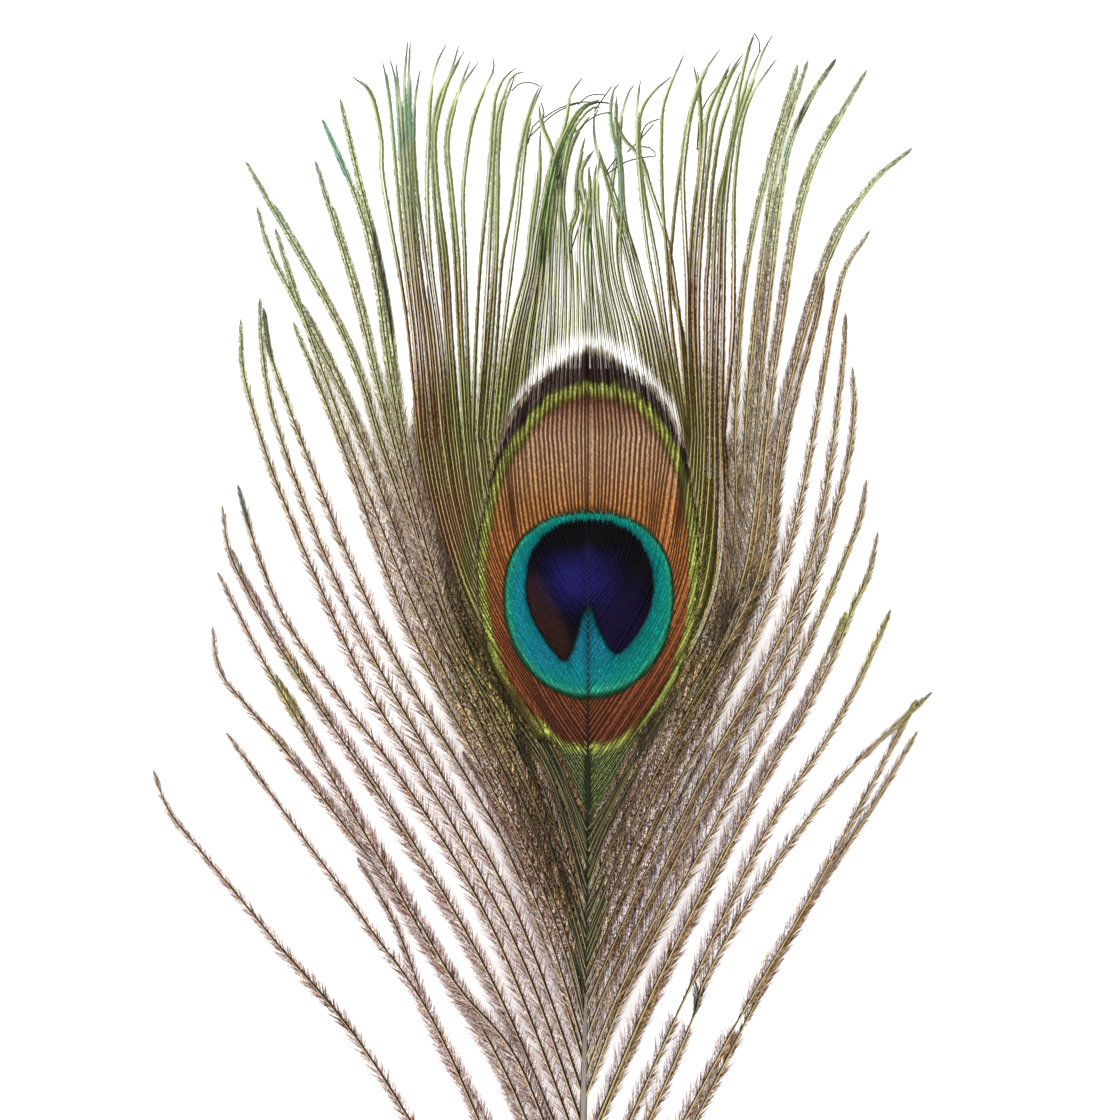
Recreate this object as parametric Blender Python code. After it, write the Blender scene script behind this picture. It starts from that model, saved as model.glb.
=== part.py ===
"""Peacock train feather, trimmed to its eye end and lying face up on a surface.

Metres, +Z up. The surface is z = 0, the eye points to +Y, and x = y = 0 is the middle of the
feather's outline.
"""

import math

import bmesh
import bpy
from mathutils import Vector

MM = 0.001

# Overall sizes
LENGTH = 280 * MM
EYE_WIDTH = 41 * MM
EYE_TOP = 87.5 * MM
EYE_FOOT = 6 * MM
VANE_THICKNESS = 1.3 * MM
EYE_AXIS = 7.75 * MM

# Centre lines below are read in the photograph's pixels, 6 to a millimetre
PIXEL = MM / 6
PIXEL_X_MIDDLE = 541.5
PIXEL_Y_TOP = 38

# The shaft: y, x, height of its centre and radius, from the cut end to the tip inside the eye
SHAFT = [
    (-140, -3.9, 1.25, 1.25),
    (-118, 1.2, 2.35, 1.20),
    (-95, 4.4, 3.45, 1.10),
    (-70, 6.2, 4.30, 0.92),
    (-45, 6.8, 4.40, 0.70),
    (-22, 7.3, 3.60, 0.48),
    (0, 7.6, 2.10, 0.42),
    (18, 7.7, 1.20, 0.40),
    (40, 7.75, 1.00, 0.34),
    (62, 7.75, 0.65, 0.20),
]

# Half width of the eye vane at heights up the feather, as fractions of EYE_WIDTH / 2
VANE_OUTLINE = [(0.0, 0.0), (0.20, 0.50), (0.46, 0.93), (0.66, 1.0), (0.86, 0.72)]

# Locks from the lowest one up: pixel y of the root on the shaft, then points along the lock to
# its tip, in pixels. A root of None starts the lock inside the eye vane.
LEFT_LOCKS = [
    (1398, (383, 1073), (270, 933), (167, 810), (152, 771)),
    (1352, (447, 1043), (370, 925), (287, 817), (225, 734)),
    (1310, (483, 1110), (440, 1037), (397, 930), (357, 858)),
    (1264, (500, 1063), (397, 893), (297, 763), (222, 673), (213, 627)),
    (1218, (517, 1060), (407, 887), (317, 747), (263, 657), (219, 571)),
    (1168, (507, 977), (390, 807), (290, 660), (233, 560), (222, 506)),
    (1124, (497, 940), (383, 773), (290, 627), (242, 507), (237, 485)),
    (1086, (480, 877), (363, 677), (273, 473), (237, 343), (240, 319)),
    (1050, (497, 870), (357, 623), (277, 430), (258, 320), (258, 298)),
    (1018, (497, 837), (377, 620), (280, 383), (263, 308)),
    (985, (507, 817), (407, 623), (337, 433), (292, 322)),
    (950, (513, 767), (427, 597), (347, 400), (270, 247), (258, 206)),
    (915, (510, 740), (427, 560), (343, 333), (247, 160)),
    (887, (505, 707), (417, 500), (357, 293), (316, 160)),
    (862, (497, 670), (413, 443), (387, 287), (353, 193), (323, 118)),
    (840, (505, 650), (437, 483), (397, 313), (360, 177), (342, 98)),
    (820, (508, 630), (444, 440), (410, 300), (385, 167), (354, 77)),
    (None, (494, 590), (446, 430), (413, 283), (397, 127), (390, 62)),
    (None, (494, 570), (452, 430), (423, 267), (408, 117), (412, 47)),
    (None, (496, 540), (462, 410), (438, 267), (430, 110), (448, 52)),
    (None, (500, 520), (474, 400), (455, 233), (445, 133), (475, 63)),
    (None, (506, 500), (482, 383), (466, 220), (473, 123), (494, 58)),
    (None, (514, 480), (492, 370), (486, 240), (495, 117), (518, 69)),
    (None, (524, 470), (503, 360), (500, 233), (507, 97), (527, 77)),
    (None, (536, 460), (516, 350), (515, 227), (528, 123), (544, 85)),
    (None, (552, 440), (543, 333), (543, 200), (563, 133), (593, 103)),
    (None, (572, 430), (565, 333), (560, 233), (566, 160), (580, 86)),
]
RIGHT_LOCKS = [
    (1356, (727, 1053), (793, 930), (870, 810), (918, 732)),
    (1314, (720, 1047), (800, 910), (863, 800), (917, 700)),
    (1275, (687, 1030), (747, 903), (837, 783), (933, 693)),
    (1234, (673, 1020), (763, 833), (853, 693), (892, 610)),
    (1192, (657, 977), (760, 777), (837, 630), (876, 532)),
    (1150, (663, 933), (753, 750), (827, 610), (865, 500), (866, 480)),
    (1110, (677, 870), (763, 687), (823, 560), (852, 443), (853, 367)),
    (1068, (673, 833), (750, 657), (803, 507), (837, 380), (847, 313)),
    (1026, (667, 817), (737, 643), (800, 460), (840, 287), (870, 230)),
    (986, (655, 815), (740, 610), (787, 433), (817, 320), (826, 268)),
    (950, (662, 775), (740, 583), (777, 430), (823, 267), (912, 147)),
    (918, (672, 730), (747, 533), (777, 333), (807, 180), (865, 68)),
    (888, (677, 700), (740, 517), (763, 333), (783, 177), (836, 57)),
    (860, (680, 680), (730, 517), (751, 340), (774, 167), (808, 59)),
    (834, (680, 660), (722, 500), (740, 300), (757, 160), (793, 68)),
    (810, (680, 630), (714, 483), (728, 283), (742, 140), (805, 47)),
    (None, (688, 560), (709, 400), (724, 213), (737, 123), (773, 38)),
    (None, (686, 540), (702, 383), (713, 247), (727, 133), (753, 40)),
    (None, (684, 520), (695, 380), (703, 207), (720, 103), (742, 58)),
    (None, (680, 500), (688, 370), (693, 233), (702, 133), (717, 55)),
    (None, (673, 480), (681, 350), (684, 240), (694, 133), (696, 67)),
    (None, (664, 470), (671, 340), (664, 200), (662, 120), (682, 60)),
    (None, (652, 460), (659, 330), (650, 220), (638, 140), (640, 85)),
    (None, (638, 450), (641, 330), (633, 233), (617, 140), (612, 92)),
    (None, (620, 440), (620, 320), (612, 230), (602, 150), (606, 106)),
    (None, (600, 430), (596, 320), (592, 233), (588, 150), (590, 110)),
]

LOOSE_HALF_WIDTH = 1.35 * MM
TOP_HALF_WIDTH = 0.75 * MM
ROOT_HALF_WIDTH = 0.55 * MM
LOCK_HALF_THICKNESS = 0.36 * MM
TIP_SCALE = 0.10
LOOSE_STEPS = 11
TOP_STEPS = 8
FINE_STEPS = 96
LOCK_CREST = 2.8 * MM
TIP_HEIGHT = 0.55 * MM
TOP_TIP_HEIGHT = 9 * MM


def clear_scene():
    for obj in list(bpy.data.objects):
        bpy.data.objects.remove(obj, do_unlink=True)


def new_collection(name):
    collection = bpy.data.collections.new(name)
    bpy.context.scene.collection.children.link(collection)
    return collection


def from_photo(x, y):
    return (x - PIXEL_X_MIDDLE) * PIXEL, LENGTH / 2 - (y - PIXEL_Y_TOP) * PIXEL


def along(points, place):
    """The point at `place`, 0 to 1, on a Catmull-Rom curve through the points."""
    ends = [2 * points[0] - points[1], *points, 2 * points[-1] - points[-2]]
    spans = len(points) - 1
    span = min(int(place * spans), spans - 1)
    t = place * spans - span
    a, b, c, d = ends[span : span + 4]
    slopes = (c - a) * t + (2 * a - 5 * b + 4 * c - d) * t**2
    return 0.5 * (2 * b + slopes + (3 * b - a - 3 * c + d) * t**3)


def even_points(points, steps):
    """Points at equal distances along the smooth curve through `points`."""
    fine = [along(points, i / FINE_STEPS) for i in range(FINE_STEPS + 1)]
    run = [0.0]
    for before, after in zip(fine, fine[1:], strict=False):
        run.append(run[-1] + (after - before).length)
    spaced, j = [], 0
    for i in range(steps + 1):
        goal = run[-1] * i / steps
        while j < FINE_STEPS - 1 and run[j + 1] < goal:
            j += 1
        share = (goal - run[j]) / (run[j + 1] - run[j])
        spaced.append(fine[j].lerp(fine[j + 1], share))
    return spaced


def shaft_at(y):
    """Centre and radius of the shaft where it crosses y."""
    rows = [Vector(row) * MM for row in SHAFT]
    for low, high in zip(rows, rows[1:], strict=False):
        if y <= high.x or high is rows[-1]:
            t = (y - low.x) / (high.x - low.x)
            row = low.lerp(high, t)
            return Vector((row.y, y, row.z)), row.w
    raise ValueError(y)


def as_mesh(curve_object, name, collection):
    """A closed mesh object in place of a curve with filled caps."""
    graph = bpy.context.evaluated_depsgraph_get()
    mesh = bpy.data.meshes.new_from_object(curve_object.evaluated_get(graph))
    mesh.name = name
    shape = bmesh.new()
    shape.from_mesh(mesh)
    bmesh.ops.remove_doubles(shape, verts=shape.verts, dist=0.001 * MM)
    bmesh.ops.recalc_face_normals(shape, faces=shape.faces)
    shape.to_mesh(mesh)
    shape.free()
    made = bpy.data.objects.new(name, mesh)
    made.matrix_world = curve_object.matrix_world
    collection.objects.link(made)
    bpy.data.objects.remove(curve_object, do_unlink=True)
    return made


def new_curve(name, dimensions="3D"):
    curve = bpy.data.curves.new(name, "CURVE")
    curve.dimensions = dimensions
    made = bpy.data.objects.new(name, curve)
    bpy.context.scene.collection.objects.link(made)
    return made


def add_points(curve, points, radii):
    spline = curve.splines.new("POLY")
    spline.points.add(len(points) - 1)
    for place, point, radius in zip(spline.points, points, radii, strict=True):
        place.co = (*point, 1.0)
        place.radius = radius
    return spline


def build_shaft(collection):
    """A round quill, cut square at its lower end, that thins into the eye."""
    tube = new_curve("shaft_line")
    tube.data.bevel_depth = MM
    tube.data.bevel_resolution = 2
    tube.data.use_fill_caps = True
    rows = [Vector(row) for row in SHAFT]
    steps = 3 * (len(rows) - 1)
    places = [along(rows, i / steps) for i in range(steps + 1)]
    points = [Vector((row.y, row.x, row.z)) * MM for row in places]
    add_points(tube.data, points, [row.w for row in places])
    return as_mesh(tube, "peacock_feather", collection)


def build_eye_vane(collection):
    """The closed part of the vane: a flat plate with the outline of the eye and the V below it."""
    plate = new_curve("eye_outline", "2D")
    plate.data.fill_mode = "BOTH"
    plate.data.extrude = VANE_THICKNESS / 2
    plate.data.resolution_u = 5
    spline = plate.data.splines.new("BEZIER")
    spline.use_cyclic_u = True
    height = EYE_TOP - EYE_FOOT
    half = EYE_WIDTH / 2
    right = [(EYE_AXIS + w * half, EYE_FOOT + h * height) for h, w in VANE_OUTLINE]
    left = [(EYE_AXIS - w * half, EYE_FOOT + h * height) for h, w in VANE_OUTLINE[:0:-1]]
    outline = [*right, (EYE_AXIS, EYE_TOP), *left]
    spline.bezier_points.add(len(outline) - 1)
    for place, (x, y) in zip(spline.bezier_points, outline, strict=True):
        place.co = (x, y, 0)
        place.handle_left_type = place.handle_right_type = "AUTO"
    plate.location.z = VANE_THICKNESS / 2
    bpy.context.view_layer.update()
    return as_mesh(plate, "eye_vane", collection)


def blade_section():
    """The flat diamond that every lock is drawn along, one unit to each side."""
    section = new_curve("lock_section", "2D")
    flat = LOCK_HALF_THICKNESS / LOOSE_HALF_WIDTH
    corners = [(1, 0, 0), (0, flat, 0), (-1, 0, 0), (0, -flat, 0)]
    spline = add_points(section.data, corners, [1] * 4)
    spline.use_cyclic_u = True
    return section


def lock_path(row, order):
    """Points and half widths of one lock, from its root to its tip."""
    root_y, *places = row
    plan = [Vector((*from_photo(*place), 0)) for place in places]
    if root_y is None:
        root_height = VANE_THICKNESS / 2
        tip_height = TOP_TIP_HEIGHT * (0.55 + 0.45 * math.sin(2.4 * order))
        crest = 0.0
        widest = TOP_HALF_WIDTH
        steps = TOP_STEPS
    else:
        root = shaft_at(from_photo(0, root_y)[1])[0]
        root_height = root.z
        plan.insert(0, Vector((root.x, root.y, 0)))
        tip_height = TIP_HEIGHT
        crest = LOCK_CREST * (1 + 0.35 * math.sin(1.9 * order))
        widest = LOOSE_HALF_WIDTH
        steps = LOOSE_STEPS
    points, widths = even_points(plan, steps), []
    for i, point in enumerate(points):
        t = i / steps
        point.z = root_height + (tip_height - root_height) * t**1.6
        point.z += crest * math.sin(math.pi * t) ** 2
        swell = math.sin(math.pi * min(1.0, 0.12 + 0.9 * t)) ** 0.7
        widths.append(max(ROOT_HALF_WIDTH * (1 - t), widest * swell, widest * TIP_SCALE))
    return points, widths


def build_lock(name, row, order, section, collection):
    line = new_curve(name)
    line.data.twist_mode = "Z_UP"
    line.data.bevel_mode = "OBJECT"
    line.data.bevel_object = section
    line.data.use_fill_caps = True
    points, widths = lock_path(row, order)
    add_points(line.data, points, widths)
    bpy.context.view_layer.update()
    return as_mesh(line, name, collection)


def build_locks(collection):
    section = blade_section()
    for side, rows in (("left", LEFT_LOCKS), ("right", RIGHT_LOCKS)):
        for order, row in enumerate(rows):
            build_lock(f"{side}_lock_{order + 1:02d}", row, order, section, collection)
    bpy.data.objects.remove(section, do_unlink=True)


def feather_material():
    material = bpy.data.materials.new("feather_bronze_green")
    material.use_nodes = True
    shader = material.node_tree.nodes["Principled BSDF"]
    shader.inputs["Base Color"].default_value = (0.16, 0.11, 0.06, 1)
    shader.inputs["Roughness"].default_value = 0.55
    shader.inputs["Metallic"].default_value = 0.2
    return material


def join_all(feather, helpers):
    """Makes the shaft, the eye and the locks one grown body."""
    union = feather.modifiers.new("grown_as_one", "BOOLEAN")
    union.operation = "UNION"
    union.operand_type = "COLLECTION"
    union.collection = helpers
    union.solver = "EXACT"


def main():
    clear_scene()
    parts = new_collection("Peacock feather")
    helpers = new_collection("Feather forms")
    helpers.hide_render = True
    feather = build_shaft(parts)
    build_eye_vane(helpers)
    build_locks(helpers)
    for form in helpers.objects:
        form.hide_render = True
        form.display_type = "WIRE"
    feather.data.materials.append(feather_material())
    join_all(feather, helpers)


main()
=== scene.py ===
import math
import random
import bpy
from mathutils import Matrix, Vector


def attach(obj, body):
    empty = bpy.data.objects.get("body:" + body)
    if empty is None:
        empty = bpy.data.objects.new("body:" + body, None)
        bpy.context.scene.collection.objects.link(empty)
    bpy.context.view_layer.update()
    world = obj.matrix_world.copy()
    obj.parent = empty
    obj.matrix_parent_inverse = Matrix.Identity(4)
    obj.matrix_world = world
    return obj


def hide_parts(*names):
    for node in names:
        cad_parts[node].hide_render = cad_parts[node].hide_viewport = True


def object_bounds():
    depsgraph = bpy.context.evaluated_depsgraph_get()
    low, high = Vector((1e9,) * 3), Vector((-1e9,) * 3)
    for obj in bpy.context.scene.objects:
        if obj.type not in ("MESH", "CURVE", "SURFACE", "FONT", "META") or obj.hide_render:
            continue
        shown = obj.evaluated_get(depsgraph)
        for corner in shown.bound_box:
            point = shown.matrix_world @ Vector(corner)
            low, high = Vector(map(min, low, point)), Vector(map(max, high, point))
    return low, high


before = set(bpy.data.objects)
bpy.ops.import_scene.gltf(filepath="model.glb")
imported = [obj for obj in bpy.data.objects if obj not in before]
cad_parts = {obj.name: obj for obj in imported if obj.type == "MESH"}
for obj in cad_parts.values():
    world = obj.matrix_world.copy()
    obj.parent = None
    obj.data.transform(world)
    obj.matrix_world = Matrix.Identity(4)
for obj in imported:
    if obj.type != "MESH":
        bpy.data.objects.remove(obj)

from types import SimpleNamespace

import bpy
import numpy as np
from mathutils import Vector

print("feather: frame loaded")
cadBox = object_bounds()
mm = 0.001
pixel = mm / 6  # the photograph shows 6 pixels to a millimetre
middleOfPhoto = (541.5, 878.0)  # the pixel that stands at x = y = 0
studioLight = 1.20  # what reaches the barbs, where 1 shows an albedo as it is
lineCount = 120  # points of a barb's line
dice = random.Random(61)


def smoothStep(low, high, value):
    t = np.clip((value - low) / (high - low), 0, 1)
    return t * t * (3 - 2 * t)


def seen(red, green, blue):
    # the albedo that shows as this photographed colour, 0 to 255, under the studio light
    linear = [((c / 255 + 0.055) / 1.055) ** 2.4 if c > 10 else c / 3295 for c in (red, green, blue)]
    return (*(c / studioLight for c in linear), 1.0)


def inMetres(column, row, height):
    return (column - middleOfPhoto[0]) * pixel, (middleOfPhoto[1] - row) * pixel, height


def places(numbers):
    # columns and rows in turn, as pairs
    return list(zip(numbers[::2], numbers[1::2], strict=True))


# The shaft follows the solid's: y, x, height of its middle and radius, in mm
shaft = {
    "stations": [
        (-140, -3.9, 1.25, 1.25), (-118, 1.2, 2.35, 1.20), (-95, 4.4, 3.45, 1.10),
        (-70, 6.2, 4.30, 0.92), (-45, 6.8, 4.40, 0.70), (-22, 7.3, 3.60, 0.48),
        (0, 7.6, 2.10, 0.36), (18, 7.7, 1.25, 0.24), (40, 7.75, 1.02, 0.13), (62, 7.75, 0.85, 0.07),
    ],
    "rows": (1717, 506, 420),    # pixel rows of its two ends, and how many rings it has
    "knot": (0.03, 4.0),         # how far a barb's root swells it, and over how many pixels
    "sides": 14,
}


def shaftAt(row):
    # pixel column, height and radius in metres where the shaft crosses a pixel row
    y = (middleOfPhoto[1] - row) * pixel / mm
    rows = np.array(shaft["stations"])
    x, height, radius = (float(np.interp(y, rows[:, 0], rows[:, k])) for k in (1, 2, 3))
    return middleOfPhoto[0] + x * mm / pixel, height * mm, radius * mm


# Where the eye's bands lie, in pixels
eye = {
    # middle column and row, half width to the left and right, height above and below, roundness of the
    # upper half to the left and right
    "bronze": (588.7, 568.0, 103.0, 101.0, 176.0, 178.0, 1.9, 2.3),
    "turquoise": (588.7, 600.0, 85.4, 85.4, 85.0, 99.0, 2.4, 2.4),
    "blend": 12,                  # half width of the change from an oval's left half to its right one
    # the heart-shaped spot's outline, from the notch round its right lobe
    "heart": places([
        590.5, 604.5, 594.8, 619.6, 600.8, 634, 606.8, 646, 614, 654.4, 618.8, 655, 626, 649.6, 638, 634,
        646.4, 619.6, 652, 605, 654.3, 590.8, 653.6, 569, 648.8, 554.8, 640.4, 539, 626, 526, 609, 518.8,
        590, 516.9, 570.8, 518.8, 554, 524.8, 542, 534.4, 532.4, 547.6, 527, 564.4, 524.7, 586, 526.4, 602.8,
        534.8, 624.4, 546.8, 643.6, 558.8, 659, 561, 661, 567, 661.6, 573, 650.8, 578, 634, 580.9, 619.6,
        585, 610,
    ]),
    "greenBand": (10.0, 11.0),    # thickness at the sides, and at the top and foot
    "greenTop": (430, 395),       # rows over which it changes
    "greenFoot": (700, 735),
    # thickness of the dark band over the columns to either side of the middle
    "darkBand": [(0, 29), (14, 28), (26, 22), (50, 16), (75, 9), (92, 4), (105, 2)],
    "darkFoot": (500, 450),       # rows over which it ends, because there is none on the lower half
    "fringe": 17.0,               # length of the barbs' bare ends
    "bareRow": {-1: 482, 1: 462},  # lowest row that has them, on the left and on the right
    "middle": 590,                # column of the shaft below the eye
}


def ovalDistance(x, y, name):
    # pixels outside an oval, negative inside it
    column, row, left, right, up, down, leftPower, rightPower = eye[name]
    onRight = smoothStep(column - eye["blend"], column + eye["blend"], x)
    halfWidth = left + (right - left) * onRight
    n = np.where(y < row, leftPower + (rightPower - leftPower) * onRight, 2.0)
    halfHeight = np.where(y < row, up, down)
    u, v = np.abs(x - column) / halfWidth + 1e-4, np.abs(y - row) / halfHeight + 1e-4
    r = (u**n + v**n) ** (1 / n)
    steep = np.hypot(u ** (n - 1) / halfWidth, v ** (n - 1) / halfHeight) / r ** (n - 1)
    return np.maximum((r - 1) / steep, -120)


def heartDistance(x, y):
    # pixels outside the heart, negative inside it
    corners = np.array(eye["heart"])
    gap = np.full(np.shape(x), 1e9)
    inside = np.zeros(np.shape(x), bool)
    for (ax, ay), (bx, by) in zip(corners, np.roll(corners, -1, axis=0), strict=True):
        ex, ey = bx - ax, by - ay
        t = np.clip(((x - ax) * ex + (y - ay) * ey) / (ex * ex + ey * ey), 0, 1)
        gap = np.minimum(gap, np.hypot(x - ax - t * ex, y - ay - t * ey))
        crosses = (ay > y) != (by > y)
        inside ^= crosses & (x < ax + (y - ay) * ex / (ey if abs(ey) > 1e-6 else 1e-6))
    return np.where(inside, -gap, gap)


def greenBandWidth(y):
    side, end = eye["greenBand"]
    share = smoothStep(*eye["greenTop"], y) + smoothStep(*eye["greenFoot"], y)
    return side + (end - side) * np.clip(share, 0, 1)


def darkBandWidth(x, y):
    aside, width = zip(*eye["darkBand"], strict=True)
    return np.interp(np.abs(x - eye["bronze"][0]), aside, width) * smoothStep(*eye["darkFoot"], y) + 0.5


def shareOfWay(inner, outer):
    # 0 at the edge of the inner shape, 1 at the edge of the outer one
    inner = np.clip(inner, 0, None)
    return inner / (inner + np.clip(-outer, 0.01, None))


def eyeRing(x, y):
    # up to 1 the dark spot, 2 turquoise, 3 bronze, 4 yellow-green, 5 dark; above 5 it is outside the eye
    spot = heartDistance(x, y)
    turquoise, bronze = ovalDistance(x, y, "turquoise"), ovalDistance(x, y, "bronze")
    green = greenBandWidth(y)
    ring = np.where(bronze < green, 3 + bronze / green, 4 + (bronze - green) / darkBandWidth(x, y))
    ring = np.where(bronze < 0, 2 + shareOfWay(turquoise, bronze), ring)
    ring = np.where(turquoise < 0, 1 + shareOfWay(spot, turquoise), ring)
    return np.where(spot < 0, 1 + np.clip(spot / 60, -1, 0), ring)


# Tables of places in the photograph: each row ends with columns and rows of pixels in turn.
# Loose barbs lie in locks. From the lowest lock up: row of the root on the shaft, how many barbs, then
# places out to the tip
leftLocks = [
    (1398, 1, 383, 1073, 270, 933, 167, 810, 152, 771),
    (1352, 1, 447, 1043, 370, 925, 287, 817, 225, 734),
    (1310, 1, 483, 1110, 440, 1037, 397, 930, 357, 858),
    (1264, 2, 500, 1063, 397, 893, 297, 763, 222, 673, 213, 627),
    (1226, 2, 517, 1060, 454, 980, 390, 868, 317, 747, 263, 657, 219, 571),
    (1190, 2, 491, 980, 390, 807, 290, 660, 233, 560, 222, 506),
    (1155, 1, 516, 980, 469, 882, 403, 780, 290, 627, 242, 507, 237, 485),
    (1126, 1, 532, 980, 489, 888, 428, 780, 363, 677, 273, 473, 237, 343, 240, 319),
    (1095, 1, 544, 980, 505, 886, 446, 780, 357, 623, 277, 430, 258, 320, 258, 298),
    (1064, 1, 558, 980, 512, 859, 469, 780, 377, 620, 280, 383, 263, 308),
    (1034, 1, 569, 980, 543, 897, 489, 780, 407, 623, 337, 433, 292, 322),
    (1018, 1, 569, 950, 541, 873, 500, 780, 417, 610, 340, 418, 298, 300, 275, 228),
    (1002, 2, 569, 933, 540, 851, 511, 780, 425, 600, 347, 400, 270, 247, 258, 206),
    (972, 2, 566, 901, 548, 840, 523, 780, 479, 690, 442, 620, 412, 530, 385, 455, 343, 333, 247, 160),
    (942, 2, 574, 901, 556, 856, 534, 780, 494, 700, 455, 640, 428, 560, 408, 490, 378, 380, 357, 293,
     316, 160),
    (900, 2, 574, 856, 552, 780, 529, 740, 502, 700, 468, 640, 436, 560, 413, 480, 402, 430, 391, 370, 384, 320,
     374, 262, 366, 225, 350, 180, 323, 118),
    (862, 2, 568, 808, 548, 760, 520, 712, 484, 655, 452, 590, 425, 510, 411, 450, 404, 415, 397, 360, 391, 315,
     381, 262, 372, 225, 360, 177, 342, 98),
    (850, 1, 571, 806, 554, 763, 527, 716, 490, 658, 457, 594, 432, 520, 418, 460, 411, 425),
    (836, 2, 574, 800, 558, 763, 532, 717, 494, 660, 462, 598, 438, 530, 424, 475, 418, 440, 414, 405),
]
rightLocks = [
    (1356, 1, 727, 1053, 793, 930, 870, 810, 918, 732),
    (1314, 1, 720, 1047, 800, 910, 863, 800, 917, 700),
    (1275, 1, 686, 1030, 690, 1014, 694, 1001, 703, 980, 747, 903, 837, 783, 933, 693),
    (1230, 1, 673, 1020, 763, 833, 812, 760, 853, 693, 892, 610),
    (1158, 2, 658, 980, 759, 780, 792, 726, 830, 656, 849, 611, 872, 560, 876, 532),
    (1100, 1, 630, 980, 737, 780, 769, 717, 803, 652, 844, 560, 865, 500, 866, 480),
    (1060, 1, 615, 980, 715, 780, 745, 726, 787, 652, 821, 560, 852, 443, 853, 367),
    (1025, 1, 602, 980, 698, 780, 732, 719, 772, 649, 809, 560, 829, 470, 843, 370, 847, 313),
    (994, 1, 632, 880, 678, 780, 707, 730, 747, 649, 783, 560, 808, 460, 840, 287, 870, 230),
    (968, 1, 622, 880, 665, 780, 690, 737, 733, 655, 752, 611, 769, 555, 787, 433, 817, 320, 826, 268),
    (945, 2, 612, 880, 651, 780, 690, 708, 728, 643, 763, 560, 777, 430, 823, 267, 867, 188, 912, 147),
    (915, 2, 603, 880, 643, 785, 672, 728, 695, 685, 721, 636, 748, 560, 764, 430, 777, 333, 807, 180, 865, 68),
    (882, 2, 606, 834, 636, 777, 663, 723, 690, 681, 715, 636, 728, 608, 742, 550, 752, 440, 763, 333, 784, 170,
     803, 111, 836, 57),
    (856, 2, 614, 800, 643, 750, 671, 708, 697, 668, 718, 625, 734, 560, 741, 490, 743, 430, 751, 340, 774, 167,
     808, 59),
    (834, 2, 612, 795, 636, 752, 660, 717, 685, 683, 706, 647, 722, 605, 731, 550, 734, 490, 733, 430, 740, 300,
     761, 191, 796, 63),
]
# How the eye's barbs run up to row 430, outermost first: their column there, row of the root, then places
leftFlow = [
    (417, 815, 573, 784, 547, 740, 527, 713, 513, 691, 480, 647, 456, 600, 444, 560, 434, 520, 424, 475),
    (430, 792, 569, 762, 545, 722, 520, 681, 495, 640, 474, 600, 459, 560, 447, 520, 438, 480),
    (447, 765, 551, 711, 530, 674, 508, 638, 482, 584, 474, 562, 466, 535, 460, 510, 454, 480),
    (466, 733, 569, 705, 550, 673, 523, 629, 505, 598, 492, 568, 482, 540, 476, 510, 471, 480),
    (485, 702, 560, 660, 537, 620, 520, 590, 508, 565, 500, 540, 494, 510, 490, 480),
    (498, 680, 570, 652, 550, 620, 532, 590, 519, 563, 511, 535, 506, 505, 502, 475),
    (510, 660, 573, 639, 549, 607, 533, 578, 524, 556, 519, 534, 515, 506, 513, 484),
    (521, 640, 575, 621, 562, 602, 549, 580, 540, 559, 533.6, 540, 528, 508, 525, 484),
    (532, 613, 570, 587, 556, 562, 546, 538, 540, 518.6, 535.7, 481),
    (540, 597, 572, 577, 560, 555, 551, 530, 546, 506, 543, 470),
    (547, 583, 574, 566, 563, 546, 556, 526, 552, 505, 549.6, 470),
    (560, 562, 577, 545, 570, 525, 567, 506, 563.5, 475),
    (574, 548, 580, 530, 577, 512, 575.5, 480),
    (588, 538, 588, 500),
]
rightFlow = [
    (725, 815, 609, 791, 626, 759, 649, 729, 666, 704, 680, 681, 700, 648, 720, 600, 728, 560, 730, 520,
     728, 480),
    (718, 800, 616, 760, 640, 725, 660, 694, 678, 663, 697, 628, 710, 590, 717, 545, 719, 500),
    (712, 785, 612, 748, 636, 711, 656, 681, 677, 645, 690, 617, 701, 580, 708, 535, 712, 480),
    (706, 765, 612, 728, 637, 690, 660, 652, 678, 617, 691, 577, 699, 533, 704, 485),
    (699, 744, 612, 708, 636, 670, 655, 639, 673, 602, 686, 562, 694, 515, 698, 470),
    (690, 722, 611, 688, 632, 655, 652, 622, 667, 592, 676, 563, 681, 530, 685, 496, 688, 460),
    (681, 700, 610, 668, 630, 637, 648, 604, 660, 573, 669, 540, 675, 505, 679, 465),
    (672, 677, 608, 648, 626, 618, 641, 588, 651, 560, 657, 534, 662, 500, 669, 456),
    (654, 648, 606, 624, 620, 602, 634, 576, 643, 553, 648, 527, 652, 475),
    (643, 625, 604, 604, 618, 582, 629, 558, 638, 520, 640, 484),
    (634, 602, 603, 584, 614, 566, 622, 546, 626, 524, 629, 500, 632, 465),
    (620, 576, 599, 560, 608, 541, 614, 521, 616.4, 500, 617.7, 475),
    (612, 560, 597, 547, 604, 530, 608, 505, 610, 475),
    (600, 548, 597, 530, 599, 505, 599.6, 475),
    (590, 538, 590, 500),
]
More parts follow.
